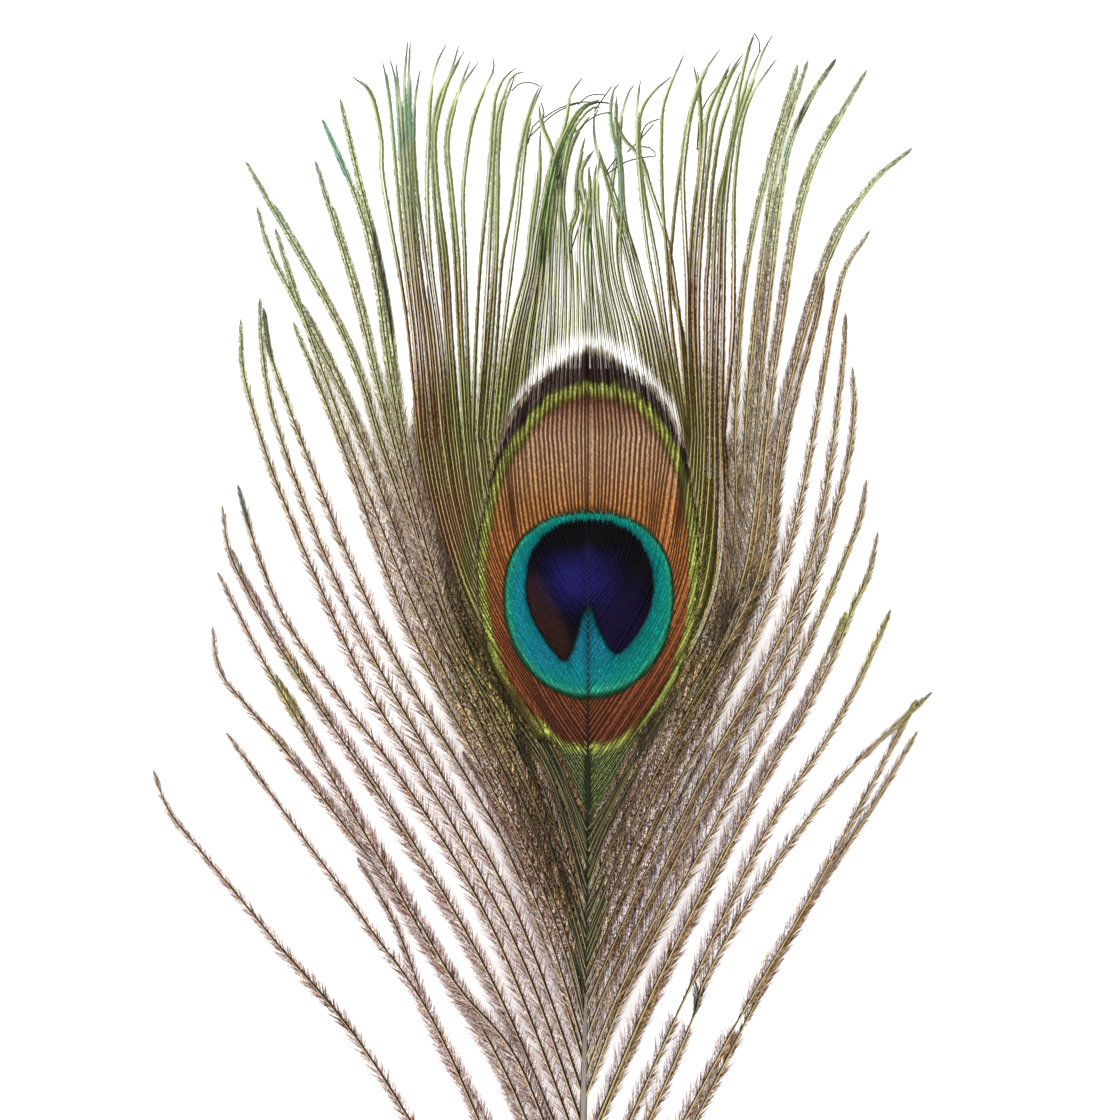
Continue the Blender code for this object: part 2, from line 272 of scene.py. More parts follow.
# The strips of barbs above the eye, outermost first: column at row 430 and at row 340, then places
leftFilaments = [
    (417, 409, 404, 300, 397, 260, 390, 222, 382, 173, 381, 138, 371, 93, 354, 77),
    (421, 414, 405, 258, 398, 180, 393, 120, 388, 80, 385, 67),
    (425, 418, 409, 258, 402, 180, 399, 120, 396, 80, 391, 61),
    (429, 421, 413, 258, 406, 180, 403, 120, 400, 85, 398, 65),
    (433, 425, 416, 258, 410, 180, 407, 120, 407, 80, 410, 46),
    (439, 431, 420, 258, 413, 180, 411, 120, 411, 85, 413, 48),
    (445, 437, 425, 255, 416, 180, 414, 130, 417, 95, 421, 71),
    (449, 441, 431, 260, 428, 194, 430, 138, 432, 103, 438, 71, 448, 50),
    (453, 446, 440, 260, 434, 190, 433, 138, 438, 100, 451, 75, 460, 46),
    (459, 452, 447, 260, 438, 190, 436, 140, 442, 108, 451, 82, 466, 56),
    (464, 459, 455, 260, 450, 194, 446, 152, 449, 119, 460, 90, 479, 62),
    (467, 462, 459, 260, 453, 194, 449, 150, 454, 120, 462, 92, 472, 66),
    (470, 467, 465, 260, 463, 195, 468, 147, 474, 119, 484, 93, 495, 72, 494, 58),
    (473, 476, 481, 260, 486, 208, 491, 152, 493, 124, 496, 99, 504, 81, 517, 69),
    (478, 484, 489, 260, 492, 208, 495, 152, 498, 120, 505, 100, 514, 81, 526, 77),
    (484, 492, 497, 260, 498, 208, 499, 152, 503, 117, 510, 98, 516, 81),
    (489, 497, 502, 265, 511, 215, 519, 161, 526, 127, 533, 106, 540, 90),
    (494, 503, 512, 265, 519, 210, 523, 165, 528, 130, 535, 106, 544, 85),
    (502, 513, 528, 272, 533, 230, 539, 190, 540, 160, 541, 132),
    (508, 519, 533, 275, 538, 240, 546, 200, 556, 160, 566, 125, 571, 99, 583, 82),
    (515, 526, 537, 282, 542, 246, 547, 205, 554, 165, 566, 135, 580, 113, 600, 104),
    (523, 531, 541, 282, 545, 240, 549, 200, 557, 162, 570, 130, 588, 106, 608, 104),
    (533, 539, 545, 282, 549, 235, 554, 195, 562, 160, 573, 132, 590, 110, 602, 107),
    (542, 549, 551, 282, 553, 235, 557, 195, 551, 151, 543, 132, 540, 108),
    (551, 556, 558, 282, 560, 235, 561, 200, 565, 165, 572, 139, 579, 134),
    (560, 565, 566, 282, 566, 235, 563, 200, 566, 170, 574, 142, 590, 118),
    (570, 573, 573, 282, 571, 235, 578, 213, 577, 185, 578, 172, 586, 138),
    (580, 582, 580, 282, 579, 258, 580, 230, 585, 208, 582, 191, 581, 174, 587, 162, 595, 153),
    (588, 587.5, 585, 290, 583, 255, 585, 225, 587, 205, 586, 192),
]
rightFilaments = [
    (725, 732, 733, 290, 733, 250, 733, 200, 737, 150, 745, 112, 759, 86, 775, 64),
    (721, 723, 724, 290, 724, 250, 726, 200, 733, 142, 742, 110, 756, 75, 763, 55, 773, 37),
    (716, 717, 719, 290, 720, 250, 722, 200, 730, 150, 738, 115, 748, 80, 761, 51),
    (711, 712, 713, 290, 714, 250, 717, 200, 726, 163, 734, 121, 738, 93, 747, 55, 754, 38),
    (706, 706, 706, 290, 709, 250, 711, 200, 716, 156, 722, 125, 732, 98, 741, 72),
    (702, 698, 698, 290, 700, 250, 704, 200, 709, 156, 713, 125, 722, 95, 733, 72, 743, 58),
    (699, 695, 694, 290, 695, 250, 699, 200, 703, 156, 705, 128, 710, 108, 721, 85, 730, 67),
    (696, 691, 690, 290, 691, 250, 694, 212, 699, 177, 701, 149, 701, 121, 699, 86, 695, 66),
    (693, 688, 687, 290, 685, 250, 682, 191, 683, 163, 690, 115, 701, 82, 719, 55),
    (690, 684, 674, 300, 671, 275, 671, 255, 676, 200, 681, 165, 686, 128, 693, 108, 702, 88),
    (688, 681, 676, 295, 667, 242, 651, 193, 641, 161, 623, 140, 615, 119),
    (686, 673.5, 669, 290, 667, 260, 662, 200, 661, 130, 665, 102, 683, 60),
    (684, 668, 661, 290, 656, 255, 645, 195, 640, 150, 641, 113, 654, 92, 672, 77),
    (681, 664, 655, 290, 647, 250, 640, 190, 637, 140, 638, 109, 641, 85),
    (676, 659, 643, 284, 634, 252, 618, 207, 608, 179, 602, 165, 596, 144, 595, 119, 599, 112),
    (668, 653, 639, 287, 630, 250, 622, 214, 619, 165, 612, 137, 610, 113, 615, 92, 619, 89),
    (659, 645, 633, 288, 626, 260, 612, 205, 604, 176, 597, 150, 594, 128),
    (650, 638, 622, 288, 617, 250, 620, 200, 620, 165, 621, 125, 629, 94, 635, 85),
    (640, 627, 614, 285, 609, 255, 608, 220, 612, 185, 617, 150, 616, 120, 618, 97),
    (630, 618, 607, 285, 603, 255, 598, 215, 598, 185, 601, 160),
    (620, 611, 601, 285, 597, 250, 594, 215, 594, 190, 597, 168),
    (611, 604, 596, 285, 592, 250, 588, 225, 583, 205, 580, 190),
    (602, 597, 592, 285, 590, 250, 590, 215, 590, 192, 590, 167),
    (594, 591, 588, 285, 587, 250, 589, 215, 587, 200),
]
# Loose curls and broken ends that cross the filaments
wisps = [
    (512, 95, 520, 88, 532, 87, 541, 91),
    (528, 144, 533, 127, 543, 119, 559, 109, 578, 103, 600, 103, 618, 105),
    (530, 137, 540, 127, 552, 116, 566, 108, 583, 102),
    (578, 106, 584, 100, 592, 96, 605, 96),
    (579, 134, 586, 127, 595, 121, 604, 118, 612, 118),
    (594, 114, 602, 102, 612, 88),
    (604, 177, 612, 166, 619, 157),
    (605, 178, 615, 171, 627, 164, 644, 160, 656, 158, 648, 150, 637, 150),
    (627, 154, 640, 141, 654, 125),
    (639, 144, 646, 125, 661, 118),
    (697, 150, 700, 118, 708, 99, 722, 82, 733, 72),
    (570, 254, 577, 232, 582, 218, 588, 200),
    (753, 40, 757, 48, 757, 58),
    (540, 128, 544, 117, 541, 105),
]

barbs = {
    "rootStep": 11.0,             # pixels between neighbouring roots on one side of the shaft
    "step": 1.4 * mm,             # between the points of a barb's line
    "fewest": 14,                 # how many points a line has at least
    "gather": 5.0,                # pixels between the two barbs of a lock
    "waver": (1.2, 0.5),          # pixels that loose barbs and the eye's barbs drift
    "second": (0.86, 0.97),       # length of a lock's second barb, as a share of the first one's
    "shortSecond": (0.5, 0.62),   # the same for locks that root above a row
    "shortRow": 870,
    "doubled": 9,                 # how many gaps between the upper locks hold another barb
    "between": (0.4, 0.56),       # its length
    "crest": 2.6 * mm,            # how high a loose barb arches
    "tipHeight": 0.75 * mm,
    "wideGap": 5.5,               # pixels between two strips that get another beside one of them
    "aside": 2.8,                 # how far beside it
    "extra": (0.72, 0.96),        # its length
    "twin": 0.8,                  # pixels from the middle of a strip to each of its two barbs
    "ragged": 0.06,               # how much shorter the right barb of a strip can be
    "flowCount": 24,              # points of the way up to the first row below
    "flowRows": (430, 340),       # the two rows whose columns the tables give
    "stripEdge": 412,             # column of the strips' left edge, and how far they reach to the right
    "stripSpan": 323,
    "eyeHeight": 1.0 * mm,
    "filamentHeight": 8.0 * mm,
    # half width of a stem: at the root and at the tip, then for the barbs with a dark line and with a pale one
    "stem": (0.29 * mm, 0.15 * mm),
    "eyeStem": (0.12 * mm, 0.10 * mm),
    "bronzeStem": (0.18 * mm, 0.09 * mm),
    "stripStem": (0.16 * mm, 0.09 * mm),
    "stripEnd": 0.21 * mm,
    "wispStem": 0.12 * mm,
    # barbule length and its angle off the barb, on the side towards the tip and on the other side
    "looseLeft": (2.7 * mm, 0.66, 3.5 * mm, 0.49),
    "looseRight": (4.1 * mm, 0.48, 3.1 * mm, 0.42),
    "outer": (2.5 * mm, 0.35, 2.4 * mm, 0.35),
    "web": (0.64 * mm, 0.78, 0.64 * mm, 0.78),
    "strip": (1.05 * mm, 0.42, 1.05 * mm, 0.42),
    # width of a barbule: on loose barbs, on their outer parts, in the eye and in the strips
    "barbuleWidth": (0.165 * mm, 0.14 * mm, 0.18 * mm, 0.24 * mm),
}
# Narrow marks that follow a few barbs: width in pixels, then places along them
streaks = {
    "dark": [
        (3.5, 690, 675, 709, 649, 728, 616, 744, 585), (3.0, 703, 707, 728, 649, 746, 615, 756, 585),
        (4.0, 654, 723, 645, 740, 636, 757), (2.2, 542, 264, 543, 248, 543, 234),
        (2.0, 572, 142, 580, 128, 588, 119), (5.0, 436, 540, 452, 590, 474, 640, 502, 695, 526, 740),
        (6.0, 520, 745, 538, 790, 556, 850, 570, 900), (2.0, 404, 130, 409, 180, 416, 240, 426, 300),
        (3.0, 374, 240, 378, 262, 386, 300, 392, 340), (4.0, 814, 110, 824, 85, 836, 57),
        (3.0, 796, 128, 806, 112, 816, 100), (3.0, 896, 152, 905, 149, 912, 147),
        (4.0, 262, 300, 268, 330, 274, 360), (2.5, 236, 485, 240, 500, 247, 525),
        (5.0, 694, 1007, 694, 1000, 696, 993), (3.0, 583, 106, 595, 103, 606, 103), (3.0, 558, 165, 562, 190),
    ],
    "teal": [
        (5.0, 316, 160, 330, 190, 345, 225), (4.0, 323, 118, 336, 150, 352, 185),
        (4.0, 785, 165, 802, 138, 816, 121), (3.0, 613, 93, 610, 113, 613, 135, 618, 158, 620, 180, 623, 213),
        (6.0, 392, 80, 397, 115, 400, 150), (6.0, 408, 60, 410, 100, 410, 140),
    ],
    "lime": [
        (5.0, 541, 262, 548, 205, 560, 160, 576, 128, 598, 105), (3.0, 589, 225, 587, 250, 586, 280),
    ],
    "bald": [(7.0, 687, 1028, 690, 1014), (7.0, 684, 985, 673, 1018), (9.0, 736, 1020, 733, 1032)],
}
# Soft spots: strength, column, row, half width and half height in pixels
spots = {
    "olive": [
        (0.9, 848, 608, 34, 60), (0.7, 872, 650, 26, 50), (1, 290, 700, 24, 40), (0.8, 392, 380, 24, 110),
        (0.6, 745, 330, 20, 110),
    ],
    "oliveTip": [(0.9, 912, 712, 30, 44)],
    "brown": [(0.8, 322, 1010, 40, 60), (0.5, 362, 905, 14, 40)],
    "dark": [(0.6, 548, 826, 26, 54), (0.35, 616, 810, 20, 50)],
    "teal": [(0.25, 270, 220, 45, 70)],
    "stripBrown": [
        (1, 737, 400, 20, 150), (1, 416, 390, 26, 130), (0.5, 455, 300, 26, 60), (0.9, 696, 280, 40, 110),
    ],
    "notGreen": [(0.6, 700, 190, 45, 70)],
    "slim": [(1, 588, 290, 85, 90), (0.6, 430, 330, 34, 90)],
    "lump": [(0.3 * mm, 694, 1000, 6, 7)],      # a thicker place on one barb, in metres
    # in the eye
    # violet in the dark spot: partly its own colour, partly a painted highlight, strongest as a thin painted
    # highlight line along the shaft
    "violetAndHighlight": [(1, 573, 580, 24, 24), (1, 589, 575, 4, 30), (0.4, 602, 580, 16, 28)],
    "low": [(1, 583, 640, 18, 46), (1, 541, 652, 22, 26), (1, 520, 600, 7, 46), (0.7, 604, 650, 10, 30)],
    "peak": [(1, 588, 366, 15, 40)],
}
# Reach in pixels over rows: of the brown below the eye, of the dense barbs below and beside it, of the
# green at its foot, and of the ground's sides and foot
reaches = {
    "brown": [(740, 92), (800, 84), (900, 44), (980, 20)],
    "close": [(740, 120), (800, 104), (900, 60), (980, 30)],
    "beside": [(460, 50), (640, 60), (700, 80)],
    "foot": [(700, 84), (722, 70), (745, 50), (770, 34), (813, 3)],
    "groundSides": [(440, 0), (480, 128), (560, 130), (600, 124), (640, 108), (680, 88), (692, 0)],
    "groundFoot": [(690, 0), (700, 80), (745, 46), (770, 33), (813, 11), (840, 3), (856, 1)],
}


def reachAt(name, y):
    return np.interp(y, *zip(*reaches[name], strict=True))


def glow(x, y, name):
    # each spot's strength in its middle, fading to 0 around it
    return sum(
        strength * np.exp(-(((x - column) / width) ** 2) - ((y - row) / height) ** 2)
        for strength, column, row, width, height in spots[name])


def streakTone(x, y, name):
    tone = np.zeros(np.shape(x))
    for width, *numbers in streaks[name]:
        line = alongCurve(places(numbers), 30)
        gap = np.hypot(x[:, None] - line[:, 0], y[:, None] - line[:, 1]).min(axis=1)
        tone = np.maximum(tone, np.exp(-((gap / width) ** 2)))
    return tone


def alongCurve(points, count=lineCount):
    # evenly spaced points on a smooth curve through the given ones
    points = np.array(points, float)
    ends = np.vstack([2 * points[0] - points[1], points, 2 * points[-1] - points[-2]])
    t = np.linspace(0, len(points) - 1, 240)
    k = np.minimum(t.astype(int), len(points) - 2)
    t = (t - k)[:, None]
    a, b, c, d = ends[k], ends[k + 1], ends[k + 2], ends[k + 3]
    fine = 0.5 * (2 * b + (c - a) * t + (2 * a - 5 * b + 4 * c - d) * t**2 + (3 * b - a - 3 * c + d) * t**3)
    run = np.concatenate([[0], np.cumsum(np.linalg.norm(np.diff(fine, axis=0), axis=1))])
    goal = np.linspace(0, run[-1], count)
    return np.stack([np.interp(goal, run, fine[:, j]) for j in (0, 1)], axis=1)


def shiftedSideways(line, amount):
    # a line moved to the right of its own direction
    along = np.gradient(line, axis=0)
    along /= np.linalg.norm(along, axis=1, keepdims=True) + 1e-9
    return line + np.stack([-along[:, 1], along[:, 0]], axis=1) * np.asarray(amount)[:, None]


def wander(size):
    # slow random drift along a barb, none at its root
    knots = [0] + [dice.uniform(-size, size) for _ in range(6)]
    return np.interp(np.linspace(0, 6, lineCount), range(7), knots)


def newBarb(line, side, kind, heights, rank):
    return {"line": line, "side": side, "kind": kind, "z": heights, "rank": rank, "tone": dice.random()}


def looseBarbs(locks, side):
    t = np.linspace(0, 1, lineCount)
    bulge = np.sin(math.pi * t)
    waver = barbs["waver"][0]
    made = []
    for i, (lockRow, count, *numbers) in enumerate(locks):
        for k in range(count):
            place = k - (count - 1) / 2
            rootRow = lockRow - place * barbs["rootStep"]
            root, start, _ = shaftAt(rootRow)
            line = alongCurve([(root, rootRow), *places(numbers)])
            apart = place * barbs["gather"] * smoothStep(0.0, 0.3, t) * (1 - 0.4 * t)
            line = shiftedSideways(line, -side * apart)
            line = shiftedSideways(line, wander(waver) * t)
            if place > 0:
                limits = barbs["second" if lockRow > barbs["shortRow"] else "shortSecond"]
                line = line[: int(lineCount * dice.uniform(*limits)) : 4]
            else:
                line = line[::7]
            # neighbours arch differently, and the upper ones less
            crest = barbs["crest"] * (1 + 0.35 * math.sin(1.9 * i)) * (1 - 0.6 * max(i - 11, 0) / 4)
            heights = start + (barbs["tipHeight"] - start) * t**1.6 + crest * bulge**2
            heights = heights + place * 0.3 * mm * bulge
            made.append(newBarb(alongCurve(line), side, "loose", heights, i))
    # near the eye a shorter barb lies between each two locks
    for i in range(len(locks) - barbs["doubled"], len(locks)):
        below, above = (next(b for b in made if b["rank"] == rank) for rank in (i - 1, i))
        line = (below["line"] + above["line"]) / 2
        line = alongCurve(line[: int(lineCount * dice.uniform(*barbs["between"])) : 4])
        line = shiftedSideways(line, wander(waver) * t)
        made.append(newBarb(line, side, "loose", (below["z"] + above["z"]) / 2 + 0.2 * mm * bulge, -1))
    return made


def flowLine(flow, column):
    # the way of a barb from its root up to the row where the strips start
    count, last = barbs["flowCount"], barbs["flowRows"][0]
    columns = np.array([row[0] for row in flow], float)
    ways = np.stack([
        alongCurve([(shaftAt(root)[0], root), *places(numbers), (end, last)], count)
        for end, root, *numbers in flow])
    order = np.argsort(columns)
    return np.stack([
        [np.interp(column, columns[order], ways[order, k, j]) for j in (0, 1)] for k in range(count)])


def withExtras(filaments):
    # where two strips stand far apart, another lies close beside one of them; the last value is its length
    full = []
    for column, upper, *numbers in filaments:
        way = places(numbers)
        if full and abs(column - full[-1][0]) > barbs["wideGap"]:
            last, lastUpper = full[-1][:2]
            shift = math.copysign(barbs["aside"], column - last)
            beside = [(x - shift, y) for x, y in way]
            full.append(((last + column) / 2, (lastUpper + upper) / 2, beside, dice.uniform(*barbs["extra"])))
        full.append((column, upper, way, 1.0))
    return full


def eyeBarbs(flow, filaments, side):
    # two barbs make one strip above the eye: the left one bears only the left row there
    t = np.linspace(0, 1, lineCount)
    rows = withExtras(filaments)
    gaps = np.abs(np.gradient(np.array([row[0] for row in rows], float)))
    made = []
    for i, (column, upper, way, share) in enumerate(rows):
        own = dice.random()
        for hand in (-1, 1):
            low = flowLine(flow, column + hand * gaps[i] / 4)
            high = [(x + hand * barbs["twin"], y) for x, y in ((upper, barbs["flowRows"][1]), *way)]
            line = alongCurve([*low, *high])
            line = shiftedSideways(line, wander(barbs["waver"][1]) * smoothStep(0.35, 0.6, t))
            if hand > 0 or share < 1:
                line = alongCurve(line[: int(lineCount * share * (1 - dice.uniform(0.0, barbs["ragged"])))])
            start = shaftAt(low[0, 1])[1]
            # neighbours end at different heights
            rise = barbs["filamentHeight"] * (0.5 + 0.42 * math.sin(2.4 * i + side)) * share
            heights = barbs["eyeHeight"] + (start - barbs["eyeHeight"]) * (1 - smoothStep(0, 0.15, t))
            heights = heights + rise * smoothStep(0.42, 1.0, t) ** 1.4 + 0.08 * mm * hand
            barb = newBarb(line, side, "eye", heights, -side * hand)
            barb["tone"] = 0.4 * own + 0.6 * dice.random()
            barb["across"] = (column - barbs["stripEdge"]) / barbs["stripSpan"]
            barb["strong"] = hand > 0
            barb["reaches"] = hand < 0 and share == 1
            made.append(barb)
    return made


def wispBarbs(rows, carriers):
    # each starts at the height of the barb that it springs from
    made = []
    for numbers in rows:
        line = alongCurve(places(numbers))
        gaps = [np.hypot(*(b["line"] - line[0]).T) for b in carriers]
        nearest = int(np.argmin([gap.min() for gap in gaps]))
        start = carriers[nearest]["z"][int(np.argmin(gaps[nearest]))]
        made.append(newBarb(line, 1, "wisp", np.full(lineCount, start), 0))
    return made


def looseTones(x, y, side, bronze):
    # how olive, brown and green a loose barb is; what lies below and beside the eye has tones of its own
    left = side < 0
    aside = np.abs(x - eye["middle"])
    beside = smoothStep(165, 130, aside) * smoothStep(720, 600, y) * smoothStep(260, 360, y)
    fromEye = np.exp(-np.clip(bronze, 0, None) / 46)
    olive = fromEye * smoothStep(800, 720, y) * smoothStep(250, 420, y)
    olive = olive * (1 - (0 if left else 0.65) * smoothStep(580, 660, y)) + glow(x, y, "olive")
    olive = np.maximum(olive, (0.4 if left else 0.2) * smoothStep(640, 420, y)) * (1 - 0.6 * beside)
    olive = np.maximum(olive, glow(x, y, "oliveTip"))
    fromEye = np.exp(-np.clip(bronze - 12, 0, None) / (42 if left else 24))
    brown = fromEye * smoothStep(560, 700, y) * smoothStep(980, 860, y)
    brown = (brown + 0.75 * fromEye * smoothStep(900, 600, y)) * smoothStep(860, 780, y)
    bound = reachAt("brown", y) * (1 if left else 0.7)
    below = smoothStep(bound + 14, bound - 14, aside) * smoothStep(980, 900, y) * smoothStep(690, 740, y)
    brown = np.maximum.reduce([brown, below * (1 if left else 0.65), 0.95 * beside, glow(x, y, "brown")])
    upper, highest = (0.75, 0.25) if left else (0.0, 0.9)
    green = smoothStep(500, 330, y) * upper + smoothStep(330, 190, y) * highest
    return olive, brown, green


def stripTones(x, y, bronze):
    # the same for the eye's barbs, above and beside it
    olive = 0.9 * smoothStep(44, 20, bronze) * smoothStep(410, 470, y)
    brown = np.maximum(glow(x, y, "stripBrown"), smoothStep(16, 34, bronze) * smoothStep(440, 520, y))
    green = 0.75 * smoothStep(300, 170, y) * (1 - glow(x, y, "notGreen"))
    return olive, brown, green


def tones(at, kind, side):
    # each tone at each point of a barb
    x, y = at.x, at.y
    olive, brown, green = looseTones(x, y, side, at.bronze) if kind == "loose" else stripTones(x, y, at.bronze)
    teal, dark, lime = (streakTone(x, y, name) for name in ("teal", "dark", "lime"))
    teal = 0.75 * teal + glow(x, y, "teal")
    if kind == "loose":
        dark = np.maximum(dark, glow(x, y, "dark"))
    if kind == "wisp":
        dark = np.maximum(dark, 0.7)
    made = {"olive": olive, "brown": brown, "green": green, "teal": teal, "dark": dark, "lime": lime}
    made = {name + "Tone": np.clip(tone, 0, 1) for name, tone in made.items()}
    made["limeTone"] = made["limeTone"] * at.strip
    return made


def reachIntoEye(at, barb):
    # where one of the eye's barbs lies in the eye, and where its end is bare
    edge = greenBandWidth(at.y) + darkBandWidth(at.x, at.y)
    inEye = np.maximum(smoothStep(edge + 3, edge - 1, at.bronze), smoothStep(690, 720, at.y))
    narrow = 1 - 0.5 * smoothStep(25, 85, np.abs(at.x - 588))
    end = edge + eye["fringe"] * smoothStep(460, 400, at.y) * narrow * (0.75 + 0.5 * barb["tone"])
    lowest = eye["bareRow"][barb["side"]]
    bare = smoothStep(lowest, lowest - 30, at.y) * smoothStep(edge - 1, edge + 3, at.bronze)
    return inEye, bare * smoothStep(end + 6, end - 4, at.bronze)


def closeness(at):
    # 1 on the dense loose barbs beside and below the eye
    beside, bound = reachAt("beside", at.y), reachAt("close", at.y)
    beside = smoothStep(beside, beside - 30, at.bronze) * smoothStep(380, 460, at.y)
    below = smoothStep(bound + 16, bound - 16, np.abs(at.x - eye["middle"])) * smoothStep(690, 740, at.y)
    return np.maximum(beside, below) * smoothStep(1010, 960, at.y)


def barbuleRows(at, barb):
    # lengths and angles of the barbules on both sides of a barb, and their width
    kind, t, y = barb["kind"], at.t, at.y
    outer = np.maximum(smoothStep(0.5, 0.95, t), 0.8 * smoothStep(600, 420, y))
    shares = (at.loose * (1 - outer), at.loose * outer, at.inEye, at.strip)
    names = ("looseLeft" if barb["side"] < 0 else "looseRight", "outer", "web", "strip")
    sizes = sum(np.array(barbs[name])[:, None] * share for name, share in zip(names, shares, strict=True))
    lengths = sizes[::2] * (1 + 0.2 * at.high)
    angles = sizes[1::2] * (1 - 0.4 * at.high) * (1 - 0.28 * at.close)
    # the last barbules end together, in a blunt tip
    lengths = np.where(at.inEye < 0.5, np.minimum(lengths, (1 - t) * at.length + 0.3 * mm), lengths)
    ends = smoothStep(0, 0.012, t) * (1 - 0.4 * smoothStep(0.93, 1.0, t)) * (1 - at.bare)
    ends = ends * (1 - 0.9 * streakTone(at.x, y, "bald"))
    if kind == "loose":
        ends = ends * (0.72 + 0.28 * smoothStep(0.0, 0.2, t)) * (1 - 0.02 * at.close)
    if kind == "eye":
        ends = ends * (1 - 0.75 * at.slim) * (1 - 0.15 * at.strip)
        ends = ends * (1 - 0.3 * smoothStep(3.9, 4.1, at.ring) * at.inEye)
    if kind == "wisp":
        ends = np.zeros(len(t))
    hands = {1: (lengths[0] * ends, angles[0]), -1: (lengths[1] * ends, angles[1])}
    if kind == "eye":
        sparse = 1 if barb["rank"] < 0 else -1
        length, angle = hands[sparse]
        hands[sparse] = (length * np.maximum(at.inEye, 0.9 * smoothStep(300, 420, y)), angle)
    calm = [at.inEye, 0.35 * at.strip, 0.6 * outer * at.loose, 1.1 * at.high, 0.6 * at.close]
    width = sum(w * share for w, share in zip(barbs["barbuleWidth"], shares, strict=True))
    return hands, {"calmness": np.maximum.reduce(calm), "barbuleWidth": width}


def stemWidth(at, barb):
    kind, t = barb["kind"], at.t
    start, end = barbs["stem" if kind == "loose" else "eyeStem"]
    radius = (end + (start - end) * (1 - t) ** 1.2) * (1 - 0.18 * at.close)
    if kind == "eye":
        which = 0 if barb["strong"] else 1
        lined = smoothStep(1.95, 2.05, at.ring) * smoothStep(5.1, 4.9, at.ring) * smoothStep(560, 500, at.y)
        radius = radius + (barbs["bronzeStem"][which] * (0.7 + 0.5 * barb["tone"]) - radius) * lined
        radius = radius * (1 - at.strip) + barbs["stripStem"][which] * at.strip * (1 - 0.35 * at.slim)
        if barb["reaches"]:
            radius = radius + (barbs["stripEnd"] - radius) * smoothStep(0.86, 0.95, t) * at.strip
    if kind == "wisp":
        radius = np.full(len(t), barbs["wispStem"])
    radius = radius * (1 - 0.55 * at.bare) * (1 - 0.6 * smoothStep(0.94 if kind == "loose" else 0.975, 1.0, t))
    return radius + glow(at.x, at.y, "lump")


def fillBarb(barb):
    # what the stem and the barbules need at each point of a barb
    line, kind, side = barb["line"], barb["kind"], barb["side"]
    length = np.linalg.norm(np.diff(line, axis=0), axis=1).sum() * pixel
    count = max(int(length / barbs["step"]), barbs["fewest"])
    t = np.linspace(0, 1, count)
    x, y, z = (np.interp(t, np.linspace(0, 1, lineCount), row) for row in (*line.T, barb["z"]))
    none = np.zeros(count)
    bronze = ovalDistance(x, y, "bronze")
    at = SimpleNamespace(t=t, x=x, y=y, length=length, bronze=bronze, ring=none, slim=none)
    at.inEye, at.bare = reachIntoEye(at, barb) if kind == "eye" else (none, none)
    at.strip = (1 - at.inEye) * (kind != "loose")
    at.loose = (1 - at.inEye) * (1 - at.strip)
    at.high = at.loose * smoothStep(460, 340, y)
    at.close = closeness(at) if kind == "loose" else none
    if kind == "eye":
        at.ring = eyeRing(x, y)
        at.slim = np.clip(glow(x, y, "slim"), 0, 1) * (1 - at.inEye)
    barb["hands"], values = barbuleRows(at, barb)
    alone = {
        "barbSide": side, "barbTone": barb["tone"], "acrossTone": barb.get("across", 0.4),
        "strongTone": barb.get("strong", 1),
    }
    barb["points"] = np.column_stack(inMetres(x, y, z))
    barb["values"] = {
        "stemRadius": stemWidth(at, barb), "alongBarb": t * (1 if barb.get("reaches", True) else 0.9),
        "inEye": at.inEye, "stripTone": at.strip, "bareTone": at.bare, "closeTone": at.close,
        **values, **tones(at, kind, side), **{name: np.full(count, float(one)) for name, one in alone.items()},
    }
    return barb


def lineObject(name, chosen, hands=(1,), lift=0.0):
    # barb lines as edges, each hand a row of its own, with their values as attributes
    points, edges, values = [], [], {}
    first = 0
    for barb in chosen:
        own = barb["values"]
        count = len(barb["points"])
        raised = np.zeros((count, 3))
        raised[:, 2] = lift * (1 + 1.6 * own.get("stripTone", 0) + 3 * own.get("closeTone", 0))
        for hand in hands:
            points.append(barb["points"] + raised)
            edges += [(first + k, first + k + 1) for k in range(count - 1)]
            first += count
            length, angle = barb["hands"][hand]
            row = {**own, "rowLength": length, "rowAngle": angle, "farSide": np.full(count, (hand + 1) / 2)}
            row["rowSide"] = own["barbSide"] * hand
            for key, value in row.items():
                values.setdefault(key, []).append(value)
    mesh = bpy.data.meshes.new(name)
    mesh.from_pydata(np.concatenate(points).tolist(), edges, [])
    for key, value in values.items():
        writeValues(mesh, key, np.concatenate(value))
    return placed(name, mesh)


def placed(name, data):
    made = bpy.data.objects.new(name, data)
    bpy.context.scene.collection.objects.link(made)
    return made


def readPlaces(mesh):
    found = np.empty(len(mesh.vertices) * 3, np.float32)
    mesh.vertices.foreach_get("co", found)
    return found.reshape(-1, 3).astype(float)


def readValues(mesh, name):
    values = np.empty(len(mesh.vertices), np.float32)
    mesh.attributes[name].data.foreach_get("value", values)
    return values


def writeValues(mesh, name, values):
    layer = mesh.attributes.get(name) or mesh.attributes.new(name, "FLOAT", "POINT")
    layer.data.foreach_set("value", np.asarray(values, np.float32))


